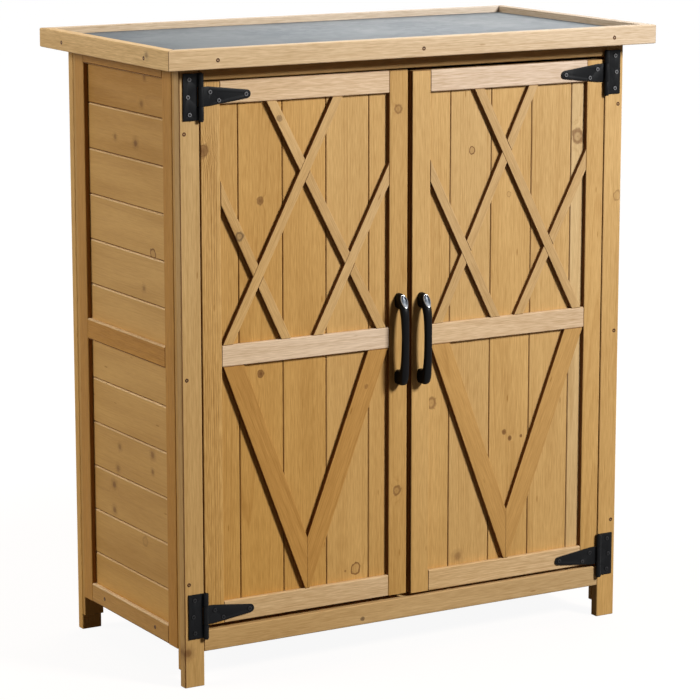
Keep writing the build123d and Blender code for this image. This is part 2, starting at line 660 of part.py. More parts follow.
def make_catches():
    face = DOOR_BACK + STRIKE_THICKNESS + CATCH_STRIKE_GAP
    span = (-CATCH_OFFSET - CATCH_WIDTH / 2, -CATCH_OFFSET + CATCH_WIDTH / 2)
    back = face + CATCH_DEPTH
    seat = block(span, (FRONT_POST_BACK, back), (HEADER_BOTTOM, HEADER_BOTTOM + CATCH_SEAT_HEIGHT))
    magnet = block(span, (face, back), (DOOR_TOP - CATCH_DROP, HEADER_BOTTOM))
    catch = seat + magnet
    nodes["magnetic_catches"] = [catch] + mirrored([catch])
    strike_span = (span[0] + STRIKE_MARGIN, span[1] - STRIKE_MARGIN)
    strike_height = (DOOR_TOP - CATCH_DROP + STRIKE_MARGIN, DOOR_TOP - STRIKE_MARGIN)
    strike = block(strike_span, (DOOR_BACK, DOOR_BACK + STRIKE_THICKNESS), strike_height)
    add_to_doors("strike_plate", [strike])


def make_frame_screws():
    x = -SIDE + POST_SCREW_INSET
    left = []
    for height in POST_SCREW_HEIGHTS:
        left.append(sunk_screw_facing(FRONTWARD, x, FRONT, height, FRAME_SCREW_BITE))
        left.append(sunk_screw_facing(BACKWARD, x, REAR, height, FRAME_SCREW_BITE))
    rail_middle = PANEL_BOTTOM + PANEL_BOTTOM_RAIL_HEIGHT / 2
    panel_middle = (FRONT + REAR) / 2
    for offset in (-PANEL_SCREW_OFFSET, PANEL_SCREW_OFFSET):
        left.append(sunk_screw_facing(LEFTWARD, -SIDE, panel_middle + offset, rail_middle, PANEL_SCREW_BITE))
    nodes["frame_screws"] = left + mirrored(left)


def make_roof_screws():
    height = (DECK_BOTTOM + DECK_TOP) / 2
    edge = ROOF_HALF_WIDTH - ROOF_SCREW_INSET
    end = ROOF_HALF_DEPTH - ROOF_SCREW_INSET
    bite = ROOF_SCREW_BITE
    long_rails = []
    for x in (-edge, 0, edge):
        long_rails.append(sunk_screw_facing(FRONTWARD, x, -ROOF_HALF_DEPTH, height, bite))
        long_rails.append(sunk_screw_facing(BACKWARD, x, ROOF_HALF_DEPTH, height, bite))
    left = [sunk_screw_facing(LEFTWARD, -ROOF_HALF_WIDTH, y, height, bite) for y in (-end, end)]
    nodes["roof_screws"] = long_rails + left + mirrored(left)


def export_nodes():
    os.makedirs("parts", exist_ok=True)
    for name, pieces in nodes.items():
        solids = [solid for piece in pieces for solid in piece.solids()]
        shape = solids[0] if len(solids) == 1 else Compound(solids)
        export_step(shape, f"parts/{name}.step")
    print(len(nodes), "nodes")


make_posts()
make_front_rails()
make_side_panels()
make_back_panel()
make_floor()
make_shelf()
make_roof()
make_hinges()
make_door_frame()
make_door_boards()
make_lattice()
make_braces()
make_handles()
make_catches()
make_frame_screws()
make_roof_screws()
export_nodes()
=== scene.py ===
import json
import math
import random

import bmesh
import bpy
from mathutils import Matrix, Vector

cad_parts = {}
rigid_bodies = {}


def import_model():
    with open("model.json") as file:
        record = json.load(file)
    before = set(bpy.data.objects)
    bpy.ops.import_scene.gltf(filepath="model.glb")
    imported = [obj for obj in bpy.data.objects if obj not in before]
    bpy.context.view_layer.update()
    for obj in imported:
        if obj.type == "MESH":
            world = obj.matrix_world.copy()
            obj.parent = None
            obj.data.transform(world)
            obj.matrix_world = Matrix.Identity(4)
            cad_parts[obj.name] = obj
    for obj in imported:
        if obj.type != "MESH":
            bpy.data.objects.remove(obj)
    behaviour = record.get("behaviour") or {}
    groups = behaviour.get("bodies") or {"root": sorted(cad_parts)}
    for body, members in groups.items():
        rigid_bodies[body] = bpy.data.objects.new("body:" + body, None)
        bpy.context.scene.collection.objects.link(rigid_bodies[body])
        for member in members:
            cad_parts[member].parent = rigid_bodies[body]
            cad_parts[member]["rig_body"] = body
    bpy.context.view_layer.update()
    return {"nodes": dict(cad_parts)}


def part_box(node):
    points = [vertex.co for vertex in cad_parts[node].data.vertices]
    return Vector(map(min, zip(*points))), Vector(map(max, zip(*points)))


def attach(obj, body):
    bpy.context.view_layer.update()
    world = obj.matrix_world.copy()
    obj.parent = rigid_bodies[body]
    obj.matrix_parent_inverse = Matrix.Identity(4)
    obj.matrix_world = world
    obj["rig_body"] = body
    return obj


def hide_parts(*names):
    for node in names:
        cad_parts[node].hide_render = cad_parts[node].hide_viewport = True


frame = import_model()

# The look of a low wooden tool cabinet. Metres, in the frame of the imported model.

# Camera: where it stands, where it looks and its lens
CAMERA_EYE = (-2.360, -4.0244, 1.3914)
CAMERA_YAW = math.radians(30.396)
CAMERA_PITCH = math.radians(11.335)
CAMERA_LENS = 151.0
CAMERA_SENSOR = 36.0

# Lamps: aim point, and for each lamp its direction from there, distance, size and power
LAMP_AIM = (0.0, -0.1, 0.55)
KEY_AZIMUTH = math.radians(28.5)
KEY_ELEVATION = math.radians(29.8)
KEY_DISTANCE = 3.2
KEY_SIZE = 0.7
KEY_POWER = 117.0
FILL_AZIMUTH = math.radians(-107.0)
FILL_ELEVATION = math.radians(22.0)
FILL_DISTANCE = 4.0
FILL_SIZE = 1.6
FILL_POWER = 88.0
BACK_AZIMUTH = math.radians(135.0)
BACK_ELEVATION = math.radians(35.0)
BACK_DISTANCE = 3.4
BACK_SIZE = 2.5
BACK_POWER = 50.0
TOP_AZIMUTH = math.radians(180.0)
TOP_ELEVATION = math.radians(82.0)
TOP_DISTANCE = 3.2
TOP_SIZE = 2.0
TOP_POWER = 32.0
AMBIENT = 0.03
AMBIENT_COLOUR = (1.0, 0.45, 0.2, 1.0)

# Stage floor: how far the shadow zone reaches, and how bright the floor shows itself
FLOOR_HALF = 12.0
FLOOR_NEAR = 0.7
FLOOR_FAR = 1.7
FLOOR_GLOW_NEAR = 0.93
FLOOR_COLOUR = (84, 76, 68)

# Meshes taken from the frame: welding, edge angles, easing, and how squarely a face must face a direction
WELD_STEPS = 1_000_000
FLAT_ANGLE = math.radians(0.6)
SHARP_ANGLE = math.radians(28.0)
SMOOTH_ANGLE = math.radians(35.0)
EASE_SEGMENTS = 2
PLANK_EASE = 0.0007
POST_EASE = 0.0014
SIDE_EASE = 0.0011
BATTEN_EASE = 0.0007
PLATE_EASE = 0.0004
FACE_MATCH = 0.8

# Stain on a board's ends and on joints that are cut aslant; painted shade on eased edges that face left or
# down, and below zero a painted highlight on those that face up
END_STAIN = 0.3
JOINT_STAIN = 0.7
CUT_LEAN = 0.15
ARRIS_SHADE = 0.75
SEAM_SHADE = 0.35
ARRIS_HIGHLIGHT = -0.45
LEFT_ARRIS = Vector((-1.0, -1.0, 0.0)).normalized()
SIDE_ARRISES = [
    (Vector((x, 0.0, z)).normalized(), amount)
    for x in (-1.0, 1.0)
    for z, amount in ((-1.0, ARRIS_SHADE), (1.0, ARRIS_HIGHLIGHT))
]
ARRISES = {
    "front_left_post": ((LEFT_ARRIS, ARRIS_SHADE),),
    "left_door_boards": ((LEFT_ARRIS, SEAM_SHADE),),
    "right_door_boards": ((LEFT_ARRIS, SEAM_SHADE),),
    "left_side_boards": SIDE_ARRISES,
    "right_side_boards": SIDE_ARRISES,
    "left_side_rails": SIDE_ARRISES,
    "right_side_rails": SIDE_ARRISES,
}

# Knots: attributes that hold them, one that lies nowhere, their kinds, and what random ones are drawn from
KNOT_LAYERS = ("knot_a", "knot_b", "knot_c", "knot_d")
NO_KNOT = (9.0, 9.0, 0.0, 0.0)
OUTLINE, BROAD, SPOT, SMUDGE = range(4)
KNOT_ALONG = 0.9
KNOT_ACROSS = 0.7
KNOT_RADII = (0.004, 0.009)
KNOT_DEPTHS = (0.25, 0.6)

# Tone and warmth that a board draws for itself; a painted sheen makes the wood paler and cooler towards the
# right and the top
TONE_SPREAD = 0.04
WARMTH_SPREAD = 0.25
SHEEN_FADE = Vector((-2.2, 0.0, -1.8))
SHEEN_MIDDLE = Vector((0.0, 0.0, 0.5))


def srgb(red, green, blue):
    """A colour given as it looks on screen, 0 to 255, as the linear colour that nodes take."""
    def linear(value):
        value /= 255.0
        return value / 12.92 if value <= 0.04045 else ((value + 0.055) / 1.055) ** 2.4
    return (linear(red), linear(green), linear(blue), 1.0)


class Graph:
    """Adds nodes to one node tree; an input may be a number, a tuple or another node's socket."""

    def __init__(self, tree):
        self.tree = tree
        self.tree.nodes.clear()

    def put(self, socket, value):
        if isinstance(value, bpy.types.NodeSocket):
            self.tree.links.new(value, socket)
        else:
            socket.default_value = value

    def node(self, kind, **inputs):
        node = self.tree.nodes.new(kind)
        for name, value in inputs.items():
            self.put(node.inputs[name.replace("_", " ")], value)
        return node

    def math(self, operation, *values):
        node = self.tree.nodes.new("ShaderNodeMath")
        node.operation = operation
        for socket, value in zip(node.inputs, values):
            self.put(socket, value)
        return node.outputs[0]

    def add(self, *values):
        total = values[0]
        for value in values[1:]:
            total = self.math("ADD", total, value)
        return total

    def times(self, *values):
        total = values[0]
        for value in values[1:]:
            total = self.math("MULTIPLY", total, value)
        return total

    def less(self, first, second):
        return self.math("SUBTRACT", first, second)

    def vector_math(self, operation, first, second):
        node = self.tree.nodes.new("ShaderNodeVectorMath")
        node.operation = operation
        self.put(node.inputs[0], first)
        slot = "Scale" if operation == "SCALE" else 1
        self.put(node.inputs[slot], second)
        return node.outputs[0]

    def product(self, vector, factors):
        return self.vector_math("MULTIPLY", vector, factors)

    def object_place(self):
        return self.tree.nodes.new("ShaderNodeTexCoord").outputs["Object"]

    def joined(self, x, y, z):
        return self.node("ShaderNodeCombineXYZ", X=x, Y=y, Z=z).outputs[0]

    def parts(self, vector):
        return self.node("ShaderNodeSeparateXYZ", Vector=vector).outputs[:3]

    def attribute(self, name, output="Vector"):
        node = self.tree.nodes.new("ShaderNodeAttribute")
        node.attribute_name = name
        return node.outputs[output]

    def noise(self, vector, scale, detail=2.0, roughness=0.5):
        node = self.node("ShaderNodeTexNoise", Vector=vector, Scale=scale, Detail=detail)
        node.inputs["Roughness"].default_value = roughness
        return node.outputs[0]

    def centred_noise(self, vector, scale, detail=2.0, roughness=0.5):
        return self.less(self.noise(vector, scale, detail, roughness), 0.5)

    def span(self, value, low, high, to_low=0.0, to_high=1.0):
        """A smooth step of value between two limits."""
        node = self.tree.nodes.new("ShaderNodeMapRange")
        node.interpolation_type = "SMOOTHSTEP"
        for name, number in zip(("Value", "From Min", "From Max", "To Min", "To Max"),
                                (value, low, high, to_low, to_high)):
            self.put(node.inputs[name], number)
        return node.outputs[0]

    def ramp(self, value, stops, interpolation="LINEAR"):
        node = self.tree.nodes.new("ShaderNodeValToRGB")
        node.color_ramp.interpolation = interpolation
        elements = node.color_ramp.elements
        while len(elements) < len(stops):
            elements.new(0.5)
        for element, (place, colour) in zip(elements, stops):
            element.position = place
            element.color = colour if isinstance(colour, tuple) else (colour, colour, colour, 1.0)
        self.put(node.inputs[0], value)
        return node.outputs[0]

    def mix(self, share, first, second):
        node = self.tree.nodes.new("ShaderNodeMix")
        node.data_type = "RGBA"
        self.put(node.inputs[0], share)
        self.put(node.inputs[6], first)
        self.put(node.inputs[7], second)
        return node.outputs[2]

    def bump(self, height, strength, distance):
        node = self.node("ShaderNodeBump", Height=height)
        node.inputs["Strength"].default_value = strength
        node.inputs["Distance"].default_value = distance
        return node.outputs[0]


def surface(name, build):
    """A material whose Principled shader gets the sockets and numbers that build returns."""
    material = bpy.data.materials.new(name)
    material.use_nodes = True
    graph = Graph(material.node_tree)
    shader = graph.tree.nodes.new("ShaderNodeBsdfPrincipled")
    for socket, value in build(graph).items():
        graph.put(shader.inputs[socket], value)
    output = graph.tree.nodes.new("ShaderNodeOutputMaterial")
    graph.tree.links.new(shader.outputs[0], output.inputs["Surface"])
    return material


# Wood: colours of edges darkened by stain and painted shade and of edges lit by a painted highlight, the
# rings and how far they wander and swell at knots
EDGE_STAIN_AND_SHADE = srgb(84, 40, 16)
PAINTED_EDGE_HIGHLIGHT = srgb(255, 226, 178)
RING_SPACING = 0.0031
RING_WANDER = 0.009
RING_SHIVER = 0.0014
RING_UNEVEN = 0.0045
KNOT_STRETCH = 1.1
KNOT_SWELL = 0.7
KNOT_REACH = 1.9
KNOT_WOBBLE = 0.9
LEAST_RADIUS = 0.0001

# The log that a board is cut from: how far its pith lies to the side and below, and how far it leans
PITH_SIDE = 0.16
PITH_NEAR = 0.020
PITH_SPREAD = 0.05
PITH_LEAN = 0.05
LEAN_ACROSS = 0.3
LOG_STEPS = (17.0, 29.0, 41.0)

# Each layer of grain: how far its noise is stretched along, across and through a board, and how much it shows
SLOW_GRAIN = (2.0, 16.0, 16.0)
QUICK_GRAIN = (7.0, 75.0, 75.0)
STREAK_GRAIN = (3.0, 380.0, 380.0)
DASH_GRAIN = (44.0, 820.0, 820.0)
FIBRE_GRAIN = (40.0, 900.0, 900.0)
BLOTCH_GRAIN = (3.2, 26.0, 26.0)
FLECK_GRAIN = (13.0, 60.0, 60.0)
STREAK_SHARE = 0.22
DASH_SHARE = 0.54
FIBRE_SHARE = 0.32
FLECK_CUT = 0.74
FLECK_DARK = 0.34

# How dark the wood is through one ring, and how red, green and blue follow warmth and brightness
SEASON = ((0.0, 0.0), (0.5, 0.22), (0.84, 1.0), (1.0, 0.0))
WARM_TINT = (0.035, -0.015, -0.15)
SHADE_BASE = (0.2, 0.0, -0.35)
SHADE_GAIN = (0.8, 1.0, 1.35)

# How dark each kind of knot is from its middle outwards, by the distance in knot radii over KNOT_SPAN
KNOT_SPAN = 1.6
KNOT_PROFILES = {
    OUTLINE: ((0.0, 0.20), (0.42, 0.22), (0.54, 0.95), (0.60, 0.95), (0.70, 0.0)),
    BROAD: ((0.0, 0.70), (0.10, 0.35), (0.27, 0.30), (0.34, 0.45), (0.46, 0.9), (0.60, 0.80), (0.74, 0.0)),
    SPOT: ((0.0, 1.0), (0.28, 0.8), (0.42, 0.7), (0.52, 0.9), (0.72, 0.0)),
    SMUDGE: ((0.0, 1.0), (0.28, 0.85), (0.46, 0.35), (0.95, 0.0)),
}


def hashed(graph, seed, factor):
    """A number from 0 to 1 that differs from board to board."""
    return graph.math("FRACT", graph.times(seed, factor))


def knot_fields(graph, u, v, wobble):
    """How dark the nearest knot is here, and the swell of the rings around the knots."""
    nearest = None
    for name in KNOT_LAYERS:
        knot_u, knot_v, radius = graph.parts(graph.attribute(name))
        own_code = graph.attribute(name, "Alpha")
        du = graph.math("DIVIDE", graph.less(u, knot_u), KNOT_STRETCH)
        dv = graph.less(v, knot_v)
        away = graph.math("SQRT", graph.add(graph.times(du, du), graph.times(dv, dv)))
        away = graph.math("DIVIDE", away, graph.math("MAXIMUM", radius, LEAST_RADIUS))
        away = graph.times(away, wobble)
        fall = graph.math("POWER", graph.math("DIVIDE", away, KNOT_REACH), 2.0)
        lift = graph.times(radius, KNOT_SWELL, graph.math("POWER", 2.718, graph.times(fall, -1.0)))
        if nearest is None:
            nearest, code, swell = away, own_code, lift
        else:
            closer = graph.math("LESS_THAN", away, nearest)
            code = graph.add(graph.times(closer, own_code), graph.times(graph.less(1.0, closer), code))
            nearest = graph.math("MINIMUM", nearest, away)
            swell = graph.add(swell, lift)
    kind = graph.math("FLOOR", code)
    depth = graph.math("FRACT", code)
    share = graph.math("DIVIDE", nearest, KNOT_SPAN)
    dark = 0.0
    for number, profile in KNOT_PROFILES.items():
        chosen = graph.math("COMPARE", kind, float(number), 0.5)
        dark = graph.add(dark, graph.times(chosen, graph.ramp(share, profile)))
    return graph.times(dark, depth), swell


def wood(name, early, late, contrast, figure, mottle, knot_colour):
    """Stained fir: growth rings of a log that each board is cut from, fibres, blotches and knots, with
    painted shade and highlight on some edges and a painted sheen towards the right and the top.
    """
    def build(graph):
        seed, tone, warmth = graph.parts(graph.attribute("board"))
        grain = graph.attribute("grain")
        u, v, w = graph.parts(grain)
        place = graph.vector_math("ADD", grain, graph.vector_math("SCALE", LOG_STEPS, seed))
        wobble = graph.add(1.0, graph.times(graph.centred_noise(place, 150.0, 3.0), KNOT_WOBBLE))
        knot, swell = knot_fields(graph, u, v, wobble)

        pith_side = graph.times(graph.less(hashed(graph, seed, 13.7), 0.5), PITH_SIDE)
        pith_depth = graph.add(PITH_NEAR, graph.times(hashed(graph, seed, 29.3), PITH_SPREAD))
        lean = graph.times(graph.less(hashed(graph, seed, 51.1), 0.5), PITH_LEAN)
        across = graph.add(graph.less(v, pith_side), graph.times(u, lean, LEAN_ACROSS))
        below = graph.add(w, pith_depth, graph.times(u, lean))
        radius = graph.math("SQRT", graph.add(graph.times(across, across), graph.times(below, below)))
        slow = graph.product(place, SLOW_GRAIN)
        quick = graph.product(place, QUICK_GRAIN)
        wander = graph.times(graph.centred_noise(slow, 1.0), RING_WANDER)
        shiver = graph.times(graph.centred_noise(quick, 1.0), RING_SHIVER)
        field = graph.add(radius, wander, shiver, swell)
        crowd = graph.joined(graph.times(field, 130.0), graph.times(seed, 50.0), 0.0)
        field = graph.add(field, graph.times(graph.centred_noise(crowd, 1.0), RING_UNEVEN))
        count = graph.math("DIVIDE", field, RING_SPACING)
        year = graph.joined(graph.times(graph.math("FLOOR", count), 0.73), graph.times(seed, 31.0), 0.5)
        strength = graph.times(
            graph.span(graph.noise(year, 1.0, 0.0), 0.35, 0.70, 0.10, 1.0),
            graph.span(graph.noise(slow, 1.7, 2.0), 0.3, 0.7, 0.35, 1.0),
        )
        ring = graph.times(graph.ramp(graph.math("FRACT", count), SEASON, "EASE"), strength)

        streak = graph.centred_noise(graph.product(place, STREAK_GRAIN), 1.0, 2.0)
        dash = graph.centred_noise(graph.product(place, DASH_GRAIN), 1.0, 2.0)
        fibre = graph.centred_noise(graph.product(place, FIBRE_GRAIN), 1.0, 3.0, 0.6)
        blotch = graph.centred_noise(graph.product(place, BLOTCH_GRAIN), 1.0, 3.0)
        colour = graph.mix(graph.times(ring, contrast), early, late)
        bright = graph.add(
            1.0, tone, graph.times(streak, STREAK_SHARE * figure), graph.times(dash, DASH_SHARE * figure),
            graph.times(fibre, FIBRE_SHARE * figure), graph.times(blotch, mottle),
        )

        cells = graph.node("ShaderNodeTexVoronoi", Vector=graph.product(place, FLECK_GRAIN), Scale=1.0)
        chosen = graph.math("GREATER_THAN", graph.parts(cells.outputs["Color"])[0], FLECK_CUT)
        fleck = graph.times(graph.span(cells.outputs["Distance"], 0.10, 0.045), chosen)
        bright = graph.times(bright, graph.less(1.0, graph.times(fleck, FLECK_DARK)))
        # The stain attribute: above zero it is end stain and painted shade on edges, below zero a painted
        # highlight on edges
        stain = graph.attribute("stain", "Fac")
        rubbed = graph.math("MAXIMUM", graph.times(stain, -1.0), 0.0)
        stain = graph.math("MAXIMUM", stain, 0.0)
        # warmth carries a painted sheen that makes the wood paler and cooler towards the right and the top
        tint = graph.vector_math("ADD", graph.vector_math("SCALE", WARM_TINT, warmth), (1.0, 1.0, 1.0))
        colour = graph.product(colour, tint)
        colour = graph.mix(knot, colour, knot_colour)
        colour = graph.mix(stain, colour, EDGE_STAIN_AND_SHADE)
        colour = graph.mix(rubbed, colour, PAINTED_EDGE_HIGHLIGHT)
        shade = graph.vector_math("ADD", graph.vector_math("SCALE", SHADE_GAIN, bright), SHADE_BASE)
        colour = graph.product(colour, shade)

        relief = graph.add(
            graph.times(ring, -0.4), graph.times(fibre, 1.1), graph.times(fleck, -0.6),
            graph.times(knot, -0.5),
        )
        rough = graph.add(0.58, graph.times(fibre, 0.30), graph.times(ring, -0.06), graph.times(stain, 0.2))
        return {
            "Base Color": colour, "Roughness": rough, "Specular IOR Level": 0.12,
            "Normal": graph.bump(relief, 0.25, 0.0005),
        }
    return surface(name, build)


# Metals: bare and deep tones of coated steel, the sheet's two greys, the chrome's rim and the painted
# reflection in its dish
BARE_GREY = srgb(150, 150, 152)
DEEP_BLACK = srgb(6, 6, 7)
SHEET_DARK = srgb(78, 86, 91)
SHEET_LIGHT = srgb(106, 111, 113)
RIM_GREY = srgb(168, 171, 174)
DISH_LEVEL = 0.38
DISH_ALONG = -0.36
DISH_ACROSS = -0.12
DISH_REFLECTION_TONES = (
    (0.18, srgb(28, 30, 34)), (0.45, srgb(92, 97, 104)),
    (0.60, srgb(176, 180, 186)), (0.80, srgb(240, 242, 244)),
)


def coated_steel(name, colour, roughness, wear):
    """Painted steel with fine orange peel and a little rubbed grey where the wear attribute says so."""
    def build(graph):
        place = graph.object_place()
        peel = graph.noise(place, 900.0, 2.0)
        patch = graph.noise(place, 42.0, 4.0, 0.6)
        rubbed = graph.add(graph.times(graph.span(patch, 0.56, 0.78), wear), graph.attribute("rubbed", "Fac"))
        tone = graph.mix(rubbed, colour, BARE_GREY)
        tone = graph.mix(graph.times(graph.noise(place, 260.0, 3.0), 0.3), tone, DEEP_BLACK)
        rough = graph.add(roughness, graph.times(graph.less(patch, 0.5), 0.22))
        return {
            "Base Color": tone, "Roughness": rough, "Specular IOR Level": 0.10,
            "Normal": graph.bump(peel, 0.22, 0.0002),
        }
    return surface(name, build)


def plated_steel(name, colour, stained, metal, roughness):
    """Plated screws and plates with stains; the crown of a head is rubbed lighter."""
    def build(graph):
        place = graph.object_place()
        stain = graph.noise(place, 210.0, 4.0, 0.65)
        scratch = graph.noise(graph.product(place, (240.0, 240.0, 2600.0)), 1.0, 2.0)
        worn = graph.math("MAXIMUM", graph.attribute("rubbed", "Fac"), graph.span(stain, 0.62, 0.42))
        tone = graph.mix(worn, stained, colour)
        rough = graph.add(roughness, graph.times(graph.less(stain, 0.5), 0.3))
        return {
            "Base Color": tone, "Metallic": metal, "Roughness": rough, "Specular IOR Level": 0.2,
            "Normal": graph.bump(scratch, 0.12, 0.0001),
        }
    return surface(name, build)


def galvanised(name):
    """Dull galvanised sheet: large soft spangles, faint rolling streaks and handling marks."""
    def build(graph):
        place = graph.object_place()
        cells = graph.node("ShaderNodeTexVoronoi", Vector=place, Scale=85.0)
        spangle = graph.parts(cells.outputs["Color"])[0]
        streak = graph.noise(graph.product(place, (2.5, 60.0, 1.0)), 1.0, 4.0, 0.6)
        cloud = graph.noise(place, 4.5, 3.0, 0.55)
        tone = graph.mix(graph.span(cloud, 0.35, 0.65), SHEET_DARK, SHEET_LIGHT)
        bright = graph.add(
            1.0, graph.times(graph.less(spangle, 0.5), 0.07), graph.times(graph.less(streak, 0.5), 0.16)
        )
        rough = graph.add(0.52, graph.times(graph.less(spangle, 0.5), 0.10), graph.times(cloud, 0.08))
        wave = graph.add(cloud, graph.times(spangle, 0.02))
        return {
            "Base Color": graph.vector_math("SCALE", tone, bright), "Metallic": 0.15, "Roughness": rough,
            "Specular IOR Level": 0.15, "Normal": graph.bump(wave, 0.25, 0.002),
        }
    return surface(name, build)


def moulded(name, colour, roughness):
    """Moulded plastic: fine spark texture and slight shine differences."""
    def build(graph):
        place = graph.object_place()
        spark = graph.noise(place, 1500.0, 2.0, 0.6)
        cloud = graph.noise(place, 60.0, 3.0)
        bright = graph.add(
            1.0, graph.times(graph.less(cloud, 0.5), 0.3), graph.times(graph.less(spark, 0.5), 0.12)
        )
        rough = graph.add(roughness, graph.times(graph.less(cloud, 0.5), 0.12))
        return {
            "Base Color": graph.vector_math("SCALE", colour[:3], bright), "Roughness": rough,
            "Specular IOR Level": 0.09, "Normal": graph.bump(spark, 0.10, 0.0001),
        }
    return surface(name, build)


def chrome_painted_reflection(name):
    """Chrome trim whose dish has a painted reflection, dark towards its upper end and light at its point."""
    def build(graph):
        across, along, share = graph.parts(graph.attribute("dish"))
        place = graph.object_place()
        swirl = graph.noise(place, 320.0, 3.0)
        level = graph.add(
            DISH_LEVEL, graph.times(along, DISH_ALONG), graph.times(across, DISH_ACROSS),
            graph.times(graph.less(swirl, 0.5), 0.05),
        )
        painted_reflection = graph.ramp(level, DISH_REFLECTION_TONES)
        tone = graph.mix(graph.span(share, 0.90, 0.80), RIM_GREY, painted_reflection)
        rough = graph.add(0.16, graph.times(swirl, 0.12))
        return {
            "Base Color": tone, "Metallic": 0.9, "Roughness": rough,
            "Normal": graph.bump(swirl, 0.05, 0.0001),
        }
    return surface(name, build)


# Finishes: wood gives its early and late tone, ring contrast, figure, mottle and the colour of its knots
KNOT_BROWN = srgb(96, 54, 26)
KNOT_GREY = srgb(92, 70, 50)
KNOT_TAN = srgb(112, 80, 52)
HONEY = wood("honey_fir", srgb(198, 157, 97), srgb(164, 119, 61), 0.46, 1.2, 0.40, KNOT_BROWN)
COARSE = wood("coarse_fir", srgb(204, 163, 103), srgb(150, 106, 50), 0.95, 1.9, 0.40, KNOT_BROWN)
MELLOW = wood("mellow_fir", srgb(195, 154, 95), srgb(168, 124, 66), 0.32, 0.55, 0.60, KNOT_BROWN)
PALE = wood("pale_fir", srgb(213, 185, 152), srgb(186, 154, 116), 0.45, 1.5, 0.34, KNOT_TAN)
CREAM = wood("cream_fir", srgb(205, 175, 134), srgb(178, 142, 98), 0.50, 1.5, 0.36, KNOT_GREY)
AMBER = wood("amber_fir", srgb(182, 136, 74), srgb(156, 110, 53), 0.45, 1.2, 0.40, KNOT_BROWN)
TAN = wood("tan_fir", srgb(198, 160, 106), srgb(168, 129, 78), 0.45, 1.3, 0.45, KNOT_GREY)
INNER = wood("inner_fir", srgb(198, 160, 104), srgb(170, 130, 76), 0.55, 1.2, 0.35, KNOT_BROWN)
BLACK_STEEL = coated_steel("black_steel", srgb(17, 18, 20), 0.48, 0.04)
BLACK_SCREW = coated_steel("black_screw", srgb(20, 20, 22), 0.42, 0.1)
ZINC = plated_steel("zinc_steel", srgb(176, 172, 164), srgb(112, 100, 86), 0.85, 0.34)
DARK_SCREW = plated_steel("dark_screw", srgb(92, 58, 34), srgb(32, 18, 10), 0.2, 0.5)
SHEET = galvanised("galvanised_sheet")
HANDLE_BLACK = moulded("handle_black", srgb(9, 9, 10), 0.40)
CATCH_BROWN = moulded("catch_brown", srgb(116, 84, 56), 0.5)
CHROME = chrome_painted_reflection("handle_chrome")


def closed_runs(faces):
    """Split faces into closed solids: one ends where each of its edges has been met twice."""
    runs = []
    run = []
    open_edges = set()
    for corners in faces:
        run.append(corners)
        for pair in zip(corners, corners[1:] + corners[:1]):
            open_edges ^= {frozenset(pair)}
        if not open_edges:
            runs.append(run)
            run = []
    return runs + [run] if run else runs


def solids_of(node):
    """Each closed solid of a CAD node as its corner points and its faces."""
    mesh = frame["nodes"][node].data
    index_of = {}
    points = []
    faces = []
    for polygon in mesh.polygons:
        corners = []
        for index in polygon.vertices:
            point = mesh.vertices[index].co
            key = tuple(round(value * WELD_STEPS) for value in point)
            if key not in index_of:
                index_of[key] = len(points)
                points.append(point.copy())
            corners.append(index_of[key])
        if len(set(corners)) == len(corners):
            faces.append(corners)
    leader = list(range(len(points)))

    def lead(index):
        while leader[index] != index:
            leader[index] = leader[leader[index]]
            index = leader[index]
        return index

    for corners in faces:
        for corner in corners[1:]:
            leader[lead(corner)] = lead(corners[0])
    groups = {}
    for corners in faces:
        groups.setdefault(lead(corners[0]), []).append(corners)
    return [(points, run) for group in groups.values() for run in closed_runs(group)]


def solid_mesh(solid):
    """A bmesh of one solid with its flat faces made whole."""
    points, faces = solid
    bm = bmesh.new()
    made = {}
    for corners in faces:
        for corner in corners:
            if corner not in made:
                made[corner] = bm.verts.new(points[corner])
        bm.faces.new([made[corner] for corner in corners])
    bmesh.ops.recalc_face_normals(bm, faces=bm.faces)
    bmesh.ops.dissolve_limit(bm, angle_limit=FLAT_ANGLE, verts=bm.verts, edges=bm.edges)
    return bm


def ease(bm, radius):
    """Round the sharp edges of a bmesh."""
    sharp = [edge for edge in bm.edges if edge.is_manifold and edge.calc_face_angle() > SHARP_ANGLE]
    bmesh.ops.bevel(
        bm, geom=sharp, offset=radius, segments=EASE_SEGMENTS, profile=0.5, affect="EDGES", clamp_overlap=True
    )


def box_of(points):
    """Lowest and highest corner of the box around some points."""
    low = Vector([min(point[i] for point in points) for i in range(3)])
    high = Vector([max(point[i] for point in points) for i in range(3)])
    return low, high


def limits(bm):
    """Lowest and highest corner of a bmesh."""
    return box_of([vert.co for vert in bm.verts])


def bridge(bm, rows):
    """Join rings of corners, each to the next, by four-sided faces."""
    for below, above in zip(rows, rows[1:]):
        for i in range(len(below)):
            j = (i + 1) % len(below)
            bm.faces.new((below[i], below[j], above[j], above[i]))


def fan(bm, ring, tip):
    """Close a ring of corners by faces about one corner."""
    for i in range(len(ring)):
        bm.faces.new((ring[i], ring[(i + 1) % len(ring)], tip))


def board_axes(bm):
    """Unit directions of a board along its grain, across its face and through its thickness."""
    longest = max(bm.edges, key=lambda edge: edge.calc_length())
    along = (longest.verts[1].co - longest.verts[0].co).normalized()
    main = max(range(3), key=lambda i: abs(along[i]))
    if along[main] < 0:
        along = -along
    low, high = limits(bm)
    size = high - low
    thin = min((i for i in range(3) if abs(along[i]) < 0.01), key=lambda i: size[i])
    through = Vector([1.0 if i == thin else 0.0 for i in range(3)])
    return along, through.cross(along), through


def plane_of(through):
    """The two frame axes that a board's face lies in."""
    thin = max(range(3), key=lambda i: abs(through[i]))
    return [i for i in range(3) if i != thin]


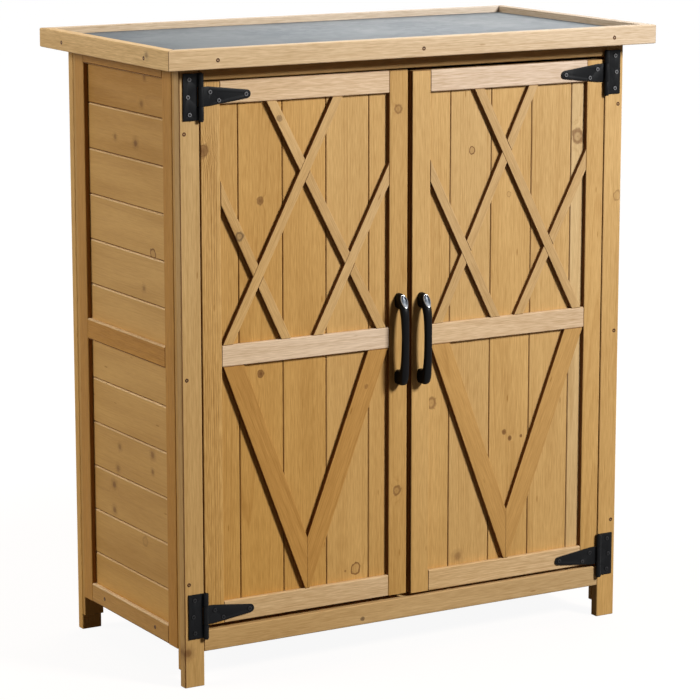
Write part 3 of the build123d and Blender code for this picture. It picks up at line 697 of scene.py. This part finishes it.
def knots_on(bm, middle, axes, spots):
    """The knots, given in the frame, that fall on this board, in the board's own directions."""
    low, high = limits(bm)
    first, second = plane_of(axes[2])
    found = []
    for a, b, radius, kind, depth in spots:
        if low[first] <= a <= high[first] and low[second] <= b <= high[second]:
            point = middle.copy()
            point[first] = a
            point[second] = b
            step = point - middle
            found.append((step.dot(axes[0]), step.dot(axes[1]), radius, kind + depth))
    return found


def random_knots(draw, bm, middle, axes, likely):
    """None to two knots at places drawn for this board."""
    found = []
    for chance in (likely, likely / 2):
        if draw.random() < chance:
            reach = [max(abs((vert.co - middle).dot(axis)) for vert in bm.verts) for axis in axes[:2]]
            kind = draw.choice((OUTLINE, BROAD, SPOT, SMUDGE))
            found.append((
                draw.uniform(-KNOT_ALONG, KNOT_ALONG) * reach[0],
                draw.uniform(-KNOT_ACROSS, KNOT_ACROSS) * reach[1],
                draw.uniform(*KNOT_RADII), kind + draw.uniform(*KNOT_DEPTHS),
            ))
    return found


def write_board(bm, axes, middle, look, knots, edge_stain_and_painted_light, arrises):
    """Store what the wood material reads: place in the board, the board's own look with a painted sheen
    towards the right and the top, its knots, and stain with painted shade and highlight on its faces.
    """
    grain = bm.verts.layers.float_vector.new("grain")
    board = bm.verts.layers.float_vector.new("board")
    layers = [bm.verts.layers.float_color.new(name) for name in KNOT_LAYERS]
    stain = bm.faces.layers.float.new("stain")
    seed, tone, warmth = look
    for vert in bm.verts:
        step = vert.co - middle
        vert[grain] = Vector([step.dot(axis) for axis in axes])
        # warmth gets a painted sheen that grows towards the right and the top
        vert[board] = Vector((seed, tone, warmth + SHEEN_FADE.dot(vert.co - SHEEN_MIDDLE)))
        for place, layer in enumerate(layers):
            vert[layer] = knots[place] if place < len(knots) else NO_KNOT
    # Faces: stain on ends and aslant joints, painted shade on long edges and arrises, and below zero a
    # painted highlight
    for face in bm.faces:
        endways = abs(face.normal.dot(axes[0]))
        if endways > FACE_MATCH:
            face[stain] = END_STAIN
        elif endways > CUT_LEAN:
            face[stain] = JOINT_STAIN
        elif abs(face.normal.dot(axes[1])) > FACE_MATCH:
            face[stain] = edge_stain_and_painted_light
        else:
            for direction, amount in arrises:
                if face.normal.dot(direction) > FACE_MATCH:
                    face[stain] = amount


def gather(parts):
    """One mesh of several bmeshes, which are freed."""
    whole = bmesh.new()
    for part in parts:
        mesh = bpy.data.meshes.new("part")
        part.to_mesh(mesh)
        part.free()
        whole.from_mesh(mesh)
        bpy.data.meshes.remove(mesh)
    return whole


def show(name, bm, material, node):
    """Make a piece of a bmesh; it stands for a CAD node and rides on that node's body."""
    mesh = bpy.data.meshes.new(name)
    bm.to_mesh(mesh)
    bm.free()
    mesh.materials.append(material)
    piece = bpy.data.objects.new(name, mesh)
    bpy.context.scene.collection.objects.link(piece)
    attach(piece, frame["nodes"][node]["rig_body"])
    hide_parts(node)
    return piece


def smooth(piece):
    """Shade a piece smoothly between its sharp edges."""
    for polygon in piece.data.polygons:
        polygon.use_smooth = True
    piece.data.set_sharp_from_angle(angle=SMOOTH_ANGLE)


# Knots that show, by node: two places in the frame, radius, kind and depth. Front pieces give x and z, side
# pieces y and z.
KNOTS = {
    "left_door_hinge_stile": [(-0.3616, 0.8254, 0.0095, SPOT, 0.80)],
    "left_door_meeting_stile": [
        (-0.0216, 0.8681, 0.0065, BROAD, 0.60), (-0.0222, 0.2646, 0.0072, BROAD, 0.70),
    ],
    "left_door_boards": [
        (-0.2606, 0.7423, 0.0060, SPOT, 0.75), (-0.2609, 0.4766, 0.0060, SPOT, 0.90),
        (-0.0938, 0.1456, 0.0085, OUTLINE, 0.85), (-0.1120, 0.1440, 0.0018, SPOT, 0.60),
    ],
    "left_door_lattice": [(-0.3000, 0.6924, 0.0066, BROAD, 0.85), (-0.2303, 0.8664, 0.0048, SPOT, 0.70)],
    "left_door_braces": [(-0.0790, 0.4382, 0.0034, SPOT, 0.50)],
    "right_door_boards": [
        (0.1188, 0.7941, 0.0056, OUTLINE, 0.95), (0.3188, 0.8032, 0.0105, BROAD, 0.75),
        (0.1885, 0.7193, 0.0042, OUTLINE, 0.50), (0.1839, 0.3340, 0.0040, SPOT, 0.85),
        (0.1949, 0.3224, 0.0036, SPOT, 0.95), (0.2166, 0.3240, 0.0026, SPOT, 0.85),
        (0.0968, 0.1390, 0.0100, SMUDGE, 0.55), (0.0455, 0.3970, 0.0085, BROAD, 0.65),
    ],
    "left_side_boards": [
        (-0.0458, 0.8833, 0.0075, SMUDGE, 0.55), (0.0470, 0.8236, 0.0065, SMUDGE, 0.55),
        (-0.0238, 0.8214, 0.0085, SMUDGE, 0.75), (-0.0567, 0.9249, 0.0065, SMUDGE, 0.55),
        (-0.0783, 0.6582, 0.0085, OUTLINE, 0.90), (-0.0458, 0.6001, 0.0065, SMUDGE, 0.55),
        (0.0470, 0.3319, 0.0070, SMUDGE, 0.55), (0.0545, 0.2953, 0.0080, SMUDGE, 0.55),
        (-0.0675, 0.3421, 0.0085, SMUDGE, 0.65), (-0.0675, 0.3157, 0.0060, SMUDGE, 0.65),
        (0.0698, 0.2663, 0.0085, SMUDGE, 0.70), (0.0698, 0.2249, 0.0080, SMUDGE, 0.65),
        (-0.0385, 0.1984, 0.0085, BROAD, 0.26),
    ],
    "front_left_post": [(-0.3950, 0.0560, 0.0100, SMUDGE, 0.75)],
    "front_right_post": [(0.3930, 0.7031, 0.0075, OUTLINE, 0.45)],
    "front_bottom_rail": [(-0.0844, 0.0640, 0.0036, SPOT, 0.90)],
    "roof_left_rail": [(-0.1523, 0.9680, 0.0070, SMUDGE, 0.60)],
}

# Wooden nodes: names, finish, record slot, easing, edge darkening by stain and painted shade (below zero a
# painted highlight) and chance of knots
DOORS = ("left_door", "right_door")
SIDES = ("left_side", "right_side")
ROOF_RAILS = ("roof_front_rail", "roof_rear_rail", "roof_left_rail", "roof_right_rail")
WOODEN = [
    (("front_left_post", "front_right_post"), HONEY, "fir_frame", POST_EASE, 0.2, 0.0),
    (("rear_left_post", "rear_right_post"), HONEY, "fir_frame", PLANK_EASE, 0.0, 0.6),
    (("post_backing_strips",), HONEY, "fir_inner", PLANK_EASE, 0.2, 0.0),
    (("front_top_rail", "front_bottom_rail"), TAN, "fir_frame", PLANK_EASE, 0.0, 0.0),
    # Side stiles: painted shade on their front and back edges
    ([side + "_stiles" for side in SIDES], AMBER, "fir_frame", PLANK_EASE, 0.5, 0.0),
    # Side rails and side boards: a painted highlight on their top and bottom faces
    ([side + "_rails" for side in SIDES], AMBER, "fir_frame", SIDE_EASE, -0.8, 0.0),
    (("left_side_boards",), MELLOW, "fir_boards", SIDE_EASE, -0.3, 0.0),
    (("right_side_boards",), MELLOW, "fir_boards", SIDE_EASE, -0.3, 0.5),
    (("back_rails",), HONEY, "fir_frame", PLANK_EASE, 0.0, 0.4),
    (("back_boards",), HONEY, "fir_boards", PLANK_EASE, 0.2, 0.6),
    (("floor_boards", "shelf_boards"), INNER, "fir_inner", PLANK_EASE, 0.2, 0.6),
    (("floor_bearers", "shelf_cleats"), INNER, "fir_inner", PLANK_EASE, 0.2, 0.0),
    (("roof_deck_boards",), INNER, "fir_inner", PLANK_EASE, 0.2, 0.5),
    (ROOF_RAILS, CREAM, "fir_frame", PLANK_EASE, 0.0, 0.0),
    # Door stiles, boards, lattice and braces: painted shade on their long edges
    (("left_door_hinge_stile",), COARSE, "fir_frame", PLANK_EASE, 0.85, 0.0),
    (("right_door_hinge_stile",), HONEY, "fir_frame", PLANK_EASE, 0.85, 0.0),
    ([door + "_meeting_stile" for door in DOORS], HONEY, "fir_frame", PLANK_EASE, 0.85, 0.0),
    ([door + "_top_rail" for door in DOORS], PALE, "fir_frame", PLANK_EASE, 0.0, 0.0),
    ([door + "_middle_rail" for door in DOORS], PALE, "fir_frame", PLANK_EASE, 0.0, 0.0),
    ([door + "_bottom_rail" for door in DOORS], PALE, "fir_frame", PLANK_EASE, 0.0, 0.0),
    ([door + "_boards" for door in DOORS], HONEY, "fir_boards", PLANK_EASE, 0.6, 0.0),
    ([door + "_lattice" for door in DOORS], TAN, "fir_frame", BATTEN_EASE, 0.8, 0.0),
    ([door + "_braces" for door in DOORS], AMBER, "fir_frame", BATTEN_EASE, 0.8, 0.0),
]

# Tone and warmth of single boards, from left to right and then upwards; other boards draw theirs. Some tones
# stand in for light, as said below
TONES = {
    "left_door_boards": ((-0.06, 0.5), (-0.08, 0.8), (-0.07, 0.7), (0.03, 0.0), (0.0, 0.2)),
    # The right door's boards are paler and cooler towards the right, partly their own tone and partly painted
    # sheen
    "right_door_boards": ((0.03, 0.2), (0.07, -0.2), (0.02, 0.4), (0.02, 0.2), (0.20, -1.2)),
    "left_door_hinge_stile": ((-0.05, 0.0),),
    "left_door_meeting_stile": ((-0.09, 0.3),),
    "right_door_meeting_stile": ((0.07, 0.0),),
    "right_door_hinge_stile": ((0.0, 0.7),),
    "left_door_top_rail": ((-0.05, 0.7),),
    "right_door_top_rail": ((0.0, 0.2),),
    "left_door_middle_rail": ((0.12, -0.4),),
    "right_door_middle_rail": ((-0.05, 0.9),),
    "left_door_bottom_rail": ((-0.06, 0.4),),
    "right_door_bottom_rail": ((-0.06, 1.2),),
    "front_left_post": ((0.06, -1.3),),
    "front_right_post": ((0.02, 0.6),),
    # The header is darker: painted shade under the roof
    "front_top_rail": ((-0.16, 0.8),),
    "front_bottom_rail": ((0.03, -1.0),),
    "roof_front_rail": ((0.02, 0.2),),
    "roof_left_rail": ((0.02, 1.4),),
    "roof_rear_rail": ((0.14, -1.0),),
    "left_door_braces": ((0.05, 0.0), (0.04, 0.0)),
    "right_door_braces": ((0.17, -0.4), (0.15, -0.4)),
    "left_side_stiles": ((-0.09, 0.2), (-0.05, 0.0)),
    "left_side_rails": ((0.02, -1.4), (-0.10, 0.5), (-0.12, 0.3)),
    # The top two boards are darker: painted shade under the roof
    "left_side_boards": (
        (0.0, 0.0), (-0.08, -0.4), (-0.06, -0.4), (0.02, -0.3), (0.0, -0.2), (0.0, -0.2),
        (0.02, -0.2), (0.02, -0.2), (0.0, 0.0), (-0.06, 0.2), (-0.18, 0.4), (-0.34, 0.6),
    ),
}


def dress_wood(node, material, radius, edge_stain_and_painted_light, likely):
    """Replace a wooden node by the same boards with eased edges, each with its own grain and knots."""
    draw = random.Random(node)
    boards = []
    for solid in solids_of(node):
        bm = solid_mesh(solid)
        low, high = limits(bm)
        boards.append(((low + high) / 2, bm))
    boards.sort(key=lambda board: (round(board[0].x, 3), board[0].z))
    for place, (middle, bm) in enumerate(boards):
        axes = board_axes(bm)
        seed = draw.random()
        tone = draw.uniform(-TONE_SPREAD, TONE_SPREAD)
        warmth = draw.uniform(-WARMTH_SPREAD, WARMTH_SPREAD)
        if node in TONES:
            tone, warmth = TONES[node][place]
        knots = knots_on(bm, middle, axes, KNOTS.get(node, ())) + random_knots(draw, bm, middle, axes, likely)
        ease(bm, radius)
        look = (seed, tone, warmth)
        write_board(bm, axes, middle, look, knots[:len(KNOT_LAYERS)], edge_stain_and_painted_light, ARRISES.get(node, ()))
    show(node + "_wood", gather([bm for middle, bm in boards]), material, node)


for nodes, material, slot, radius, edge_stain_and_painted_light, likely in WOODEN:
    for node in nodes:
        dress_wood(node, material, radius, edge_stain_and_painted_light, likely)


def dress_plates(node, material, radius):
    """Replace a metal or plastic node by the same solids with their edges rounded."""
    parts = []
    for solid in solids_of(node):
        bm = solid_mesh(solid)
        ease(bm, radius)
        parts.append(bm)
    smooth(show(node + "_piece", gather(parts), material, node))


for side in ("left", "right"):
    dress_plates(side + "_hinge_leaves", BLACK_STEEL, PLATE_EASE)
    dress_plates(side + "_door_hinge_straps", BLACK_STEEL, PLATE_EASE)
    dress_plates(side + "_door_strike_plate", ZINC, PLATE_EASE)
dress_plates("hinge_pins", BLACK_STEEL, PLATE_EASE)
dress_plates("magnetic_catches", CATCH_BROWN, PLATE_EASE)
dress_plates("roof_sheet", SHEET, PLATE_EASE / 2)

# Screws: the head's rim, its crown and the cross recess, in shares of the head's radius and depth
SCREW_SIDES = 40
SCREW_RINGS = ((1.0, 0.35), (0.97, 0.75), (0.88, 1.0), (0.76, 1.0))
CROWN_START = 3
CROWN_END = 6
RECESS_WIDE = 0.62
RECESS_NARROW = 0.20
RECESS_DEPTH = 0.0009
RECESS_TAPER = 0.75
RECESS_CRISP = 6
SHANK_SHARE = 0.48
HEAD_HEIGHT = 0.0012
HEAD_MATCH = 0.9

# How far the crowns of screw heads are rubbed
EVEN_WEAR = 0.6
LOWER_WEAR = 0.12
LEAF_WEAR = 0.8
STRAP_WEAR = 0.7


def screw_axis(solid):
    """Middle of a screw's outer end, the direction it faces, its head radius and its length."""
    points, faces = solid
    own = [points[i] for i in sorted({corner for corners in faces for corner in corners})]
    low, high = box_of(own)
    size = high - low
    main = max(range(3), key=lambda i: size[i])
    others = [i for i in range(3) if i != main]
    middle = (low + high) / 2
    head = max(size[others[0]], size[others[1]]) / 2
    wide = [p[main] for p in own if math.hypot(*(p[i] - middle[i] for i in others)) > HEAD_MATCH * head]
    facing = 1.0 if sum(wide) / len(wide) > middle[main] else -1.0
    direction = Vector([facing if i == main else 0.0 for i in range(3)])
    end = middle.copy()
    end[main] = high[main] if facing > 0 else low[main]
    return end, direction, head, size[main]


def recess_radius(angle, radius, shrink):
    """The outline of a cross recess: four arms about a small core."""
    arm = abs(math.cos(2 * angle)) ** RECESS_CRISP
    return radius * (RECESS_NARROW + (RECESS_WIDE - RECESS_NARROW) * arm) * shrink


def screw_mesh(solid, turn, rubbed):
    """A screw with a cross recess, its shank going into the wood; the crown of its head is rubbed."""
    end, direction, radius, length = screw_axis(solid)
    bm = bmesh.new()
    wear = bm.verts.layers.float.new("rubbed")
    angles = [2 * math.pi * i / SCREW_SIDES for i in range(SCREW_SIDES)]
    shank = radius * SHANK_SHARE
    rings = [[(shank, -length + HEAD_HEIGHT)] * SCREW_SIDES, [(shank, 0.0)] * SCREW_SIDES]
    rings += [[(radius * share, HEAD_HEIGHT * rise)] * SCREW_SIDES for share, rise in SCREW_RINGS]
    rings.append([(recess_radius(angle, radius, 1.0), HEAD_HEIGHT) for angle in angles])
    recess_floor = HEAD_HEIGHT - RECESS_DEPTH
    rings.append([(recess_radius(angle, radius, RECESS_TAPER), recess_floor) for angle in angles])
    tilt = direction.to_track_quat("Z", "Y").to_matrix().to_4x4()
    place = Matrix.Translation(end - direction * HEAD_HEIGHT) @ tilt @ Matrix.Rotation(turn, 4, "Z")
    rows = []
    for ring in rings:
        row = []
        for angle, (reach, height) in zip(angles, ring):
            point = Vector((reach * math.cos(angle), reach * math.sin(angle), height))
            row.append(bm.verts.new(place @ point))
        rows.append(row)
    bridge(bm, rows)
    for row in rows[CROWN_START:CROWN_END]:
        for vert in row:
            vert[wear] = rubbed
    bm.faces.new(rows[0][::-1])
    floor = bm.verts.new(place @ Vector((0, 0, recess_floor)))
    fan(bm, rows[-1], floor)
    bmesh.ops.recalc_face_normals(bm, faces=bm.faces)
    return bm


def dress_screws(node, material, low_wear, high_wear):
    """Replace a node's screws; those in its upper half are rubbed more than those below."""
    draw = random.Random(node)
    low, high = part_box(node)
    parts = []
    for solid in solids_of(node):
        upper = screw_axis(solid)[0].z > (low.z + high.z) / 2
        parts.append(screw_mesh(solid, draw.uniform(0, math.pi / 2), high_wear if upper else low_wear))
    smooth(show(node + "_heads", gather(parts), material, node))


dress_screws("frame_screws", DARK_SCREW, EVEN_WEAR, EVEN_WEAR)
dress_screws("roof_screws", DARK_SCREW, EVEN_WEAR, EVEN_WEAR)
dress_screws("hinge_leaf_screws", BLACK_SCREW, LOWER_WEAR, LEAF_WEAR)
for door in DOORS:
    dress_screws(door + "_strap_screws", BLACK_SCREW, LOWER_WEAR, STRAP_WEAR)
    dress_screws(door + "_handle_screws", ZINC, EVEN_WEAR, EVEN_WEAR)

# Handle: stations from the upper foot to the lower one. Each gives the outer and the inner edge of the bow
# as distance from the door and height over the middle, and the half width there.
HANDLE_STATIONS = (
    ((0.0000, 0.0725), (0.0000, 0.0485), 0.0070),
    ((0.0048, 0.0725), (0.0045, 0.0480), 0.0067),
    ((0.0094, 0.0719), (0.0085, 0.0472), 0.0066),
    ((0.0127, 0.0688), (0.0112, 0.0460), 0.0067),
    ((0.0170, 0.0620), (0.0134, 0.0435), 0.0069),
    ((0.0209, 0.0555), (0.0146, 0.0395), 0.0069),
    ((0.0248, 0.0488), (0.0153, 0.0340), 0.0067),
    ((0.0268, 0.0370), (0.0158, 0.0250), 0.0062),
    ((0.0277, 0.0130), (0.0166, 0.0095), 0.0058),
    ((0.0277, -0.0090), (0.0166, -0.0075), 0.0058),
    ((0.0272, -0.0280), (0.0161, -0.0210), 0.0060),
    ((0.0263, -0.0450), (0.0154, -0.0330), 0.0064),
    ((0.0246, -0.0600), (0.0143, -0.0415), 0.0068),
    ((0.0210, -0.0690), (0.0122, -0.0465), 0.0070),
    ((0.0150, -0.0722), (0.0088, -0.0482), 0.0069),
    ((0.0070, -0.0725), (0.0045, -0.0488), 0.0068),
    ((0.0000, -0.0725), (0.0000, -0.0490), 0.0070),
)
HANDLE_STEPS = 5
HANDLE_SIDES = 28
HANDLE_SQUARENESS = 2.6


def between(a, b, c, d, share):
    """A Catmull-Rom step from b to c."""
    square = 2 * a - 5 * b + 4 * c - d
    cube = 3 * b - a - 3 * c + d
    return 0.5 * (2 * b + (c - a) * share + square * share ** 2 + cube * share ** 3)


def handle_sections():
    """Smoothly spaced sections of the bow: outer edge, inner edge and half width."""
    keys = [[*outer, *inner, half] for outer, inner, half in HANDLE_STATIONS]
    keys = [keys[0]] + keys + [keys[-1]]
    sections = []
    for i in range(1, len(keys) - 2):
        for step in range(HANDLE_STEPS):
            share = step / HANDLE_STEPS
            sections.append([between(*(keys[i + k][n] for k in (-1, 0, 1, 2)), share) for n in range(5)])
    sections.append(keys[-1])
    return sections


def power_curve(value):
    """A sine or cosine bent so that the section is squarer than an ellipse."""
    return math.copysign(abs(value) ** (2 / HANDLE_SQUARENESS), value)


def handle_mesh(node):
    """The bow of a handle, swept through its sections on the face of the door."""
    low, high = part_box(node)
    middle = Vector(((low.x + high.x) / 2, high.y, (low.z + high.z) / 2))
    bm = bmesh.new()
    rows = []
    for outer_d, outer_h, inner_d, inner_h, half in handle_sections():
        outer = Vector((0, -outer_d, outer_h))
        inner = Vector((0, -inner_d, inner_h))
        row = []
        for i in range(HANDLE_SIDES):
            angle = 2 * math.pi * i / HANDLE_SIDES
            point = (outer + inner) / 2 + (outer - inner) / 2 * power_curve(math.cos(angle))
            point.x += half * power_curve(math.sin(angle))
            row.append(bm.verts.new(middle + point))
        rows.append(row)
    bridge(bm, rows)
    bm.faces.new(rows[0])
    bm.faces.new(rows[-1])
    bmesh.ops.recalc_face_normals(bm, faces=bm.faces)
    return bm


# Cap: an oval dish; rings from the rim's foot to the dish's middle as shares of the outline and heights
CAP_TILT = math.radians(31.0)
CAP_SIDES = 48
CAP_POINTED = 0.15
CAP_WIDEST = 0.3
CAP_MARGIN = 0.0007
CAP_RINGS = (
    (1.00, 0.0000), (1.00, 0.0009), (0.97, 0.0013), (0.92, 0.0015), (0.86, 0.0014), (0.80, 0.0010),
    (0.66, 0.0006), (0.45, 0.0003), (0.22, 0.0002),
)
CAP_HEIGHT = max(height for share, height in CAP_RINGS)


def cap_mesh(node):
    """An oval dish on the sloped upper end of a handle."""
    low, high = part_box(node)
    middle = (low + high) / 2
    half_width = (high.x - low.x) / 2
    half_length = (high.z - low.z) / 2 / math.cos(CAP_TILT) - CAP_MARGIN
    outward = Vector((0, -math.cos(CAP_TILT), math.sin(CAP_TILT)))
    upward = Vector((0, math.sin(CAP_TILT), math.cos(CAP_TILT)))
    foot = middle - outward * CAP_HEIGHT / 2
    bm = bmesh.new()
    dish = bm.verts.layers.float_vector.new("dish")

    def put(x, y, height, share):
        vert = bm.verts.new(foot + Vector((x, 0, 0)) + upward * y + outward * height)
        vert[dish] = Vector((x / half_width, y / half_length, share))
        return vert

    rows = []
    for share, height in CAP_RINGS:
        row = []
        for i in range(CAP_SIDES):
            angle = 2 * math.pi * i / CAP_SIDES
            slim = (1 + CAP_POINTED * math.cos(angle)) / (1 + CAP_POINTED * CAP_WIDEST)
            x = half_width * math.sin(angle) * min(slim, 1.0)
            row.append(put(x * share, half_length * math.cos(angle) * share, height, share))
        rows.append(row)
    bridge(bm, rows)
    bm.faces.new(rows[0][::-1])
    heart = put(0.0, 0.0, CAP_RINGS[-1][1], 0.0)
    fan(bm, rows[-1], heart)
    bmesh.ops.recalc_face_normals(bm, faces=bm.faces)
    return bm


for door in DOORS:
    handle = door + "_handle"
    smooth(show(handle + "_bow", handle_mesh(handle), HANDLE_BLACK, handle))
    cap = door + "_handle_cap"
    smooth(show(cap + "_trim", cap_mesh(cap), CHROME, cap))


def seen_directly(graph):
    """1 for rays from the camera, mirrors and glass, and 0 for the light that falls on things."""
    path = graph.tree.nodes.new("ShaderNodeLightPath")
    glossy = graph.math("MAXIMUM", path.outputs["Is Glossy Ray"], path.outputs["Is Transmission Ray"])
    return graph.math("MAXIMUM", path.outputs["Is Camera Ray"], glossy)


def make_floor():
    """A wide pale floor that fades to white away from the object and keeps its shadow."""
    mesh = bpy.data.meshes.new("stage_floor")
    corners = [(-FLOOR_HALF, -FLOOR_HALF, 0), (FLOOR_HALF, -FLOOR_HALF, 0),
               (FLOOR_HALF, FLOOR_HALF, 0), (-FLOOR_HALF, FLOOR_HALF, 0)]
    mesh.from_pydata(corners, [], [(0, 1, 2, 3)])
    floor = bpy.data.objects.new("stage_floor", mesh)
    bpy.context.scene.collection.objects.link(floor)
    material = bpy.data.materials.new("stage_floor")
    material.use_nodes = True
    graph = Graph(material.node_tree)
    place = graph.object_place()
    away = graph.vector_math("LENGTH", place, (0, 0, 0)).node.outputs["Value"]
    glow = graph.span(away, FLOOR_NEAR, FLOOR_FAR, FLOOR_GLOW_NEAR, 1.0)
    paint = graph.node("ShaderNodeBsdfDiffuse", Color=srgb(*FLOOR_COLOUR))
    shine = graph.node("ShaderNodeEmission", Strength=graph.times(glow, seen_directly(graph)))
    both = graph.tree.nodes.new("ShaderNodeAddShader")
    graph.tree.links.new(paint.outputs[0], both.inputs[0])
    graph.tree.links.new(shine.outputs[0], both.inputs[1])
    output = graph.tree.nodes.new("ShaderNodeOutputMaterial")
    graph.tree.links.new(both.outputs[0], output.inputs["Surface"])
    mesh.materials.append(material)


def make_world():
    """White where it is seen, and a low even light on the object."""
    world = bpy.data.worlds.new("studio")
    world.use_nodes = True
    graph = Graph(world.node_tree)
    seen = seen_directly(graph)
    strength = graph.add(AMBIENT, graph.times(seen, 1.0 - AMBIENT))
    colour = graph.mix(seen, AMBIENT_COLOUR, (1, 1, 1, 1))
    back = graph.node("ShaderNodeBackground", Color=colour, Strength=strength)
    output = graph.tree.nodes.new("ShaderNodeOutputWorld")
    graph.tree.links.new(back.outputs[0], output.inputs["Surface"])
    bpy.context.scene.world = world


def make_lamp(name, azimuth, elevation, distance, size, power):
    """A square soft lamp; azimuth 0 is in front of the cabinet and grows to the right."""
    aim = Vector(LAMP_AIM)
    away = Vector((
        math.sin(azimuth) * math.cos(elevation), -math.cos(azimuth) * math.cos(elevation), math.sin(elevation)
    ))
    data = bpy.data.lights.new(name, "AREA")
    data.size = size
    data.energy = power
    lamp = bpy.data.objects.new(name, data)
    lamp.location = aim + away * distance
    lamp.rotation_mode = "QUATERNION"
    lamp.rotation_quaternion = (-away).to_track_quat("-Z", "Y")
    lamp.visible_camera = False
    bpy.context.scene.collection.objects.link(lamp)


def make_camera():
    """The camera, level from side to side and pitched down at the cabinet."""
    data = bpy.data.cameras.new("camera")
    data.lens = CAMERA_LENS
    data.sensor_width = CAMERA_SENSOR
    camera = bpy.data.objects.new("camera", data)
    camera.location = CAMERA_EYE
    camera.rotation_euler = (math.pi / 2 - CAMERA_PITCH, 0.0, -CAMERA_YAW)
    bpy.context.scene.collection.objects.link(camera)
    bpy.context.scene.camera = camera


make_floor()
make_world()
make_lamp("key", KEY_AZIMUTH, KEY_ELEVATION, KEY_DISTANCE, KEY_SIZE, KEY_POWER)
make_lamp("fill", FILL_AZIMUTH, FILL_ELEVATION, FILL_DISTANCE, FILL_SIZE, FILL_POWER)
make_lamp("back", BACK_AZIMUTH, BACK_ELEVATION, BACK_DISTANCE, BACK_SIZE, BACK_POWER)
make_lamp("top", TOP_AZIMUTH, TOP_ELEVATION, TOP_DISTANCE, TOP_SIZE, TOP_POWER)
make_camera()
bpy.context.scene.view_settings.view_transform = "Standard"
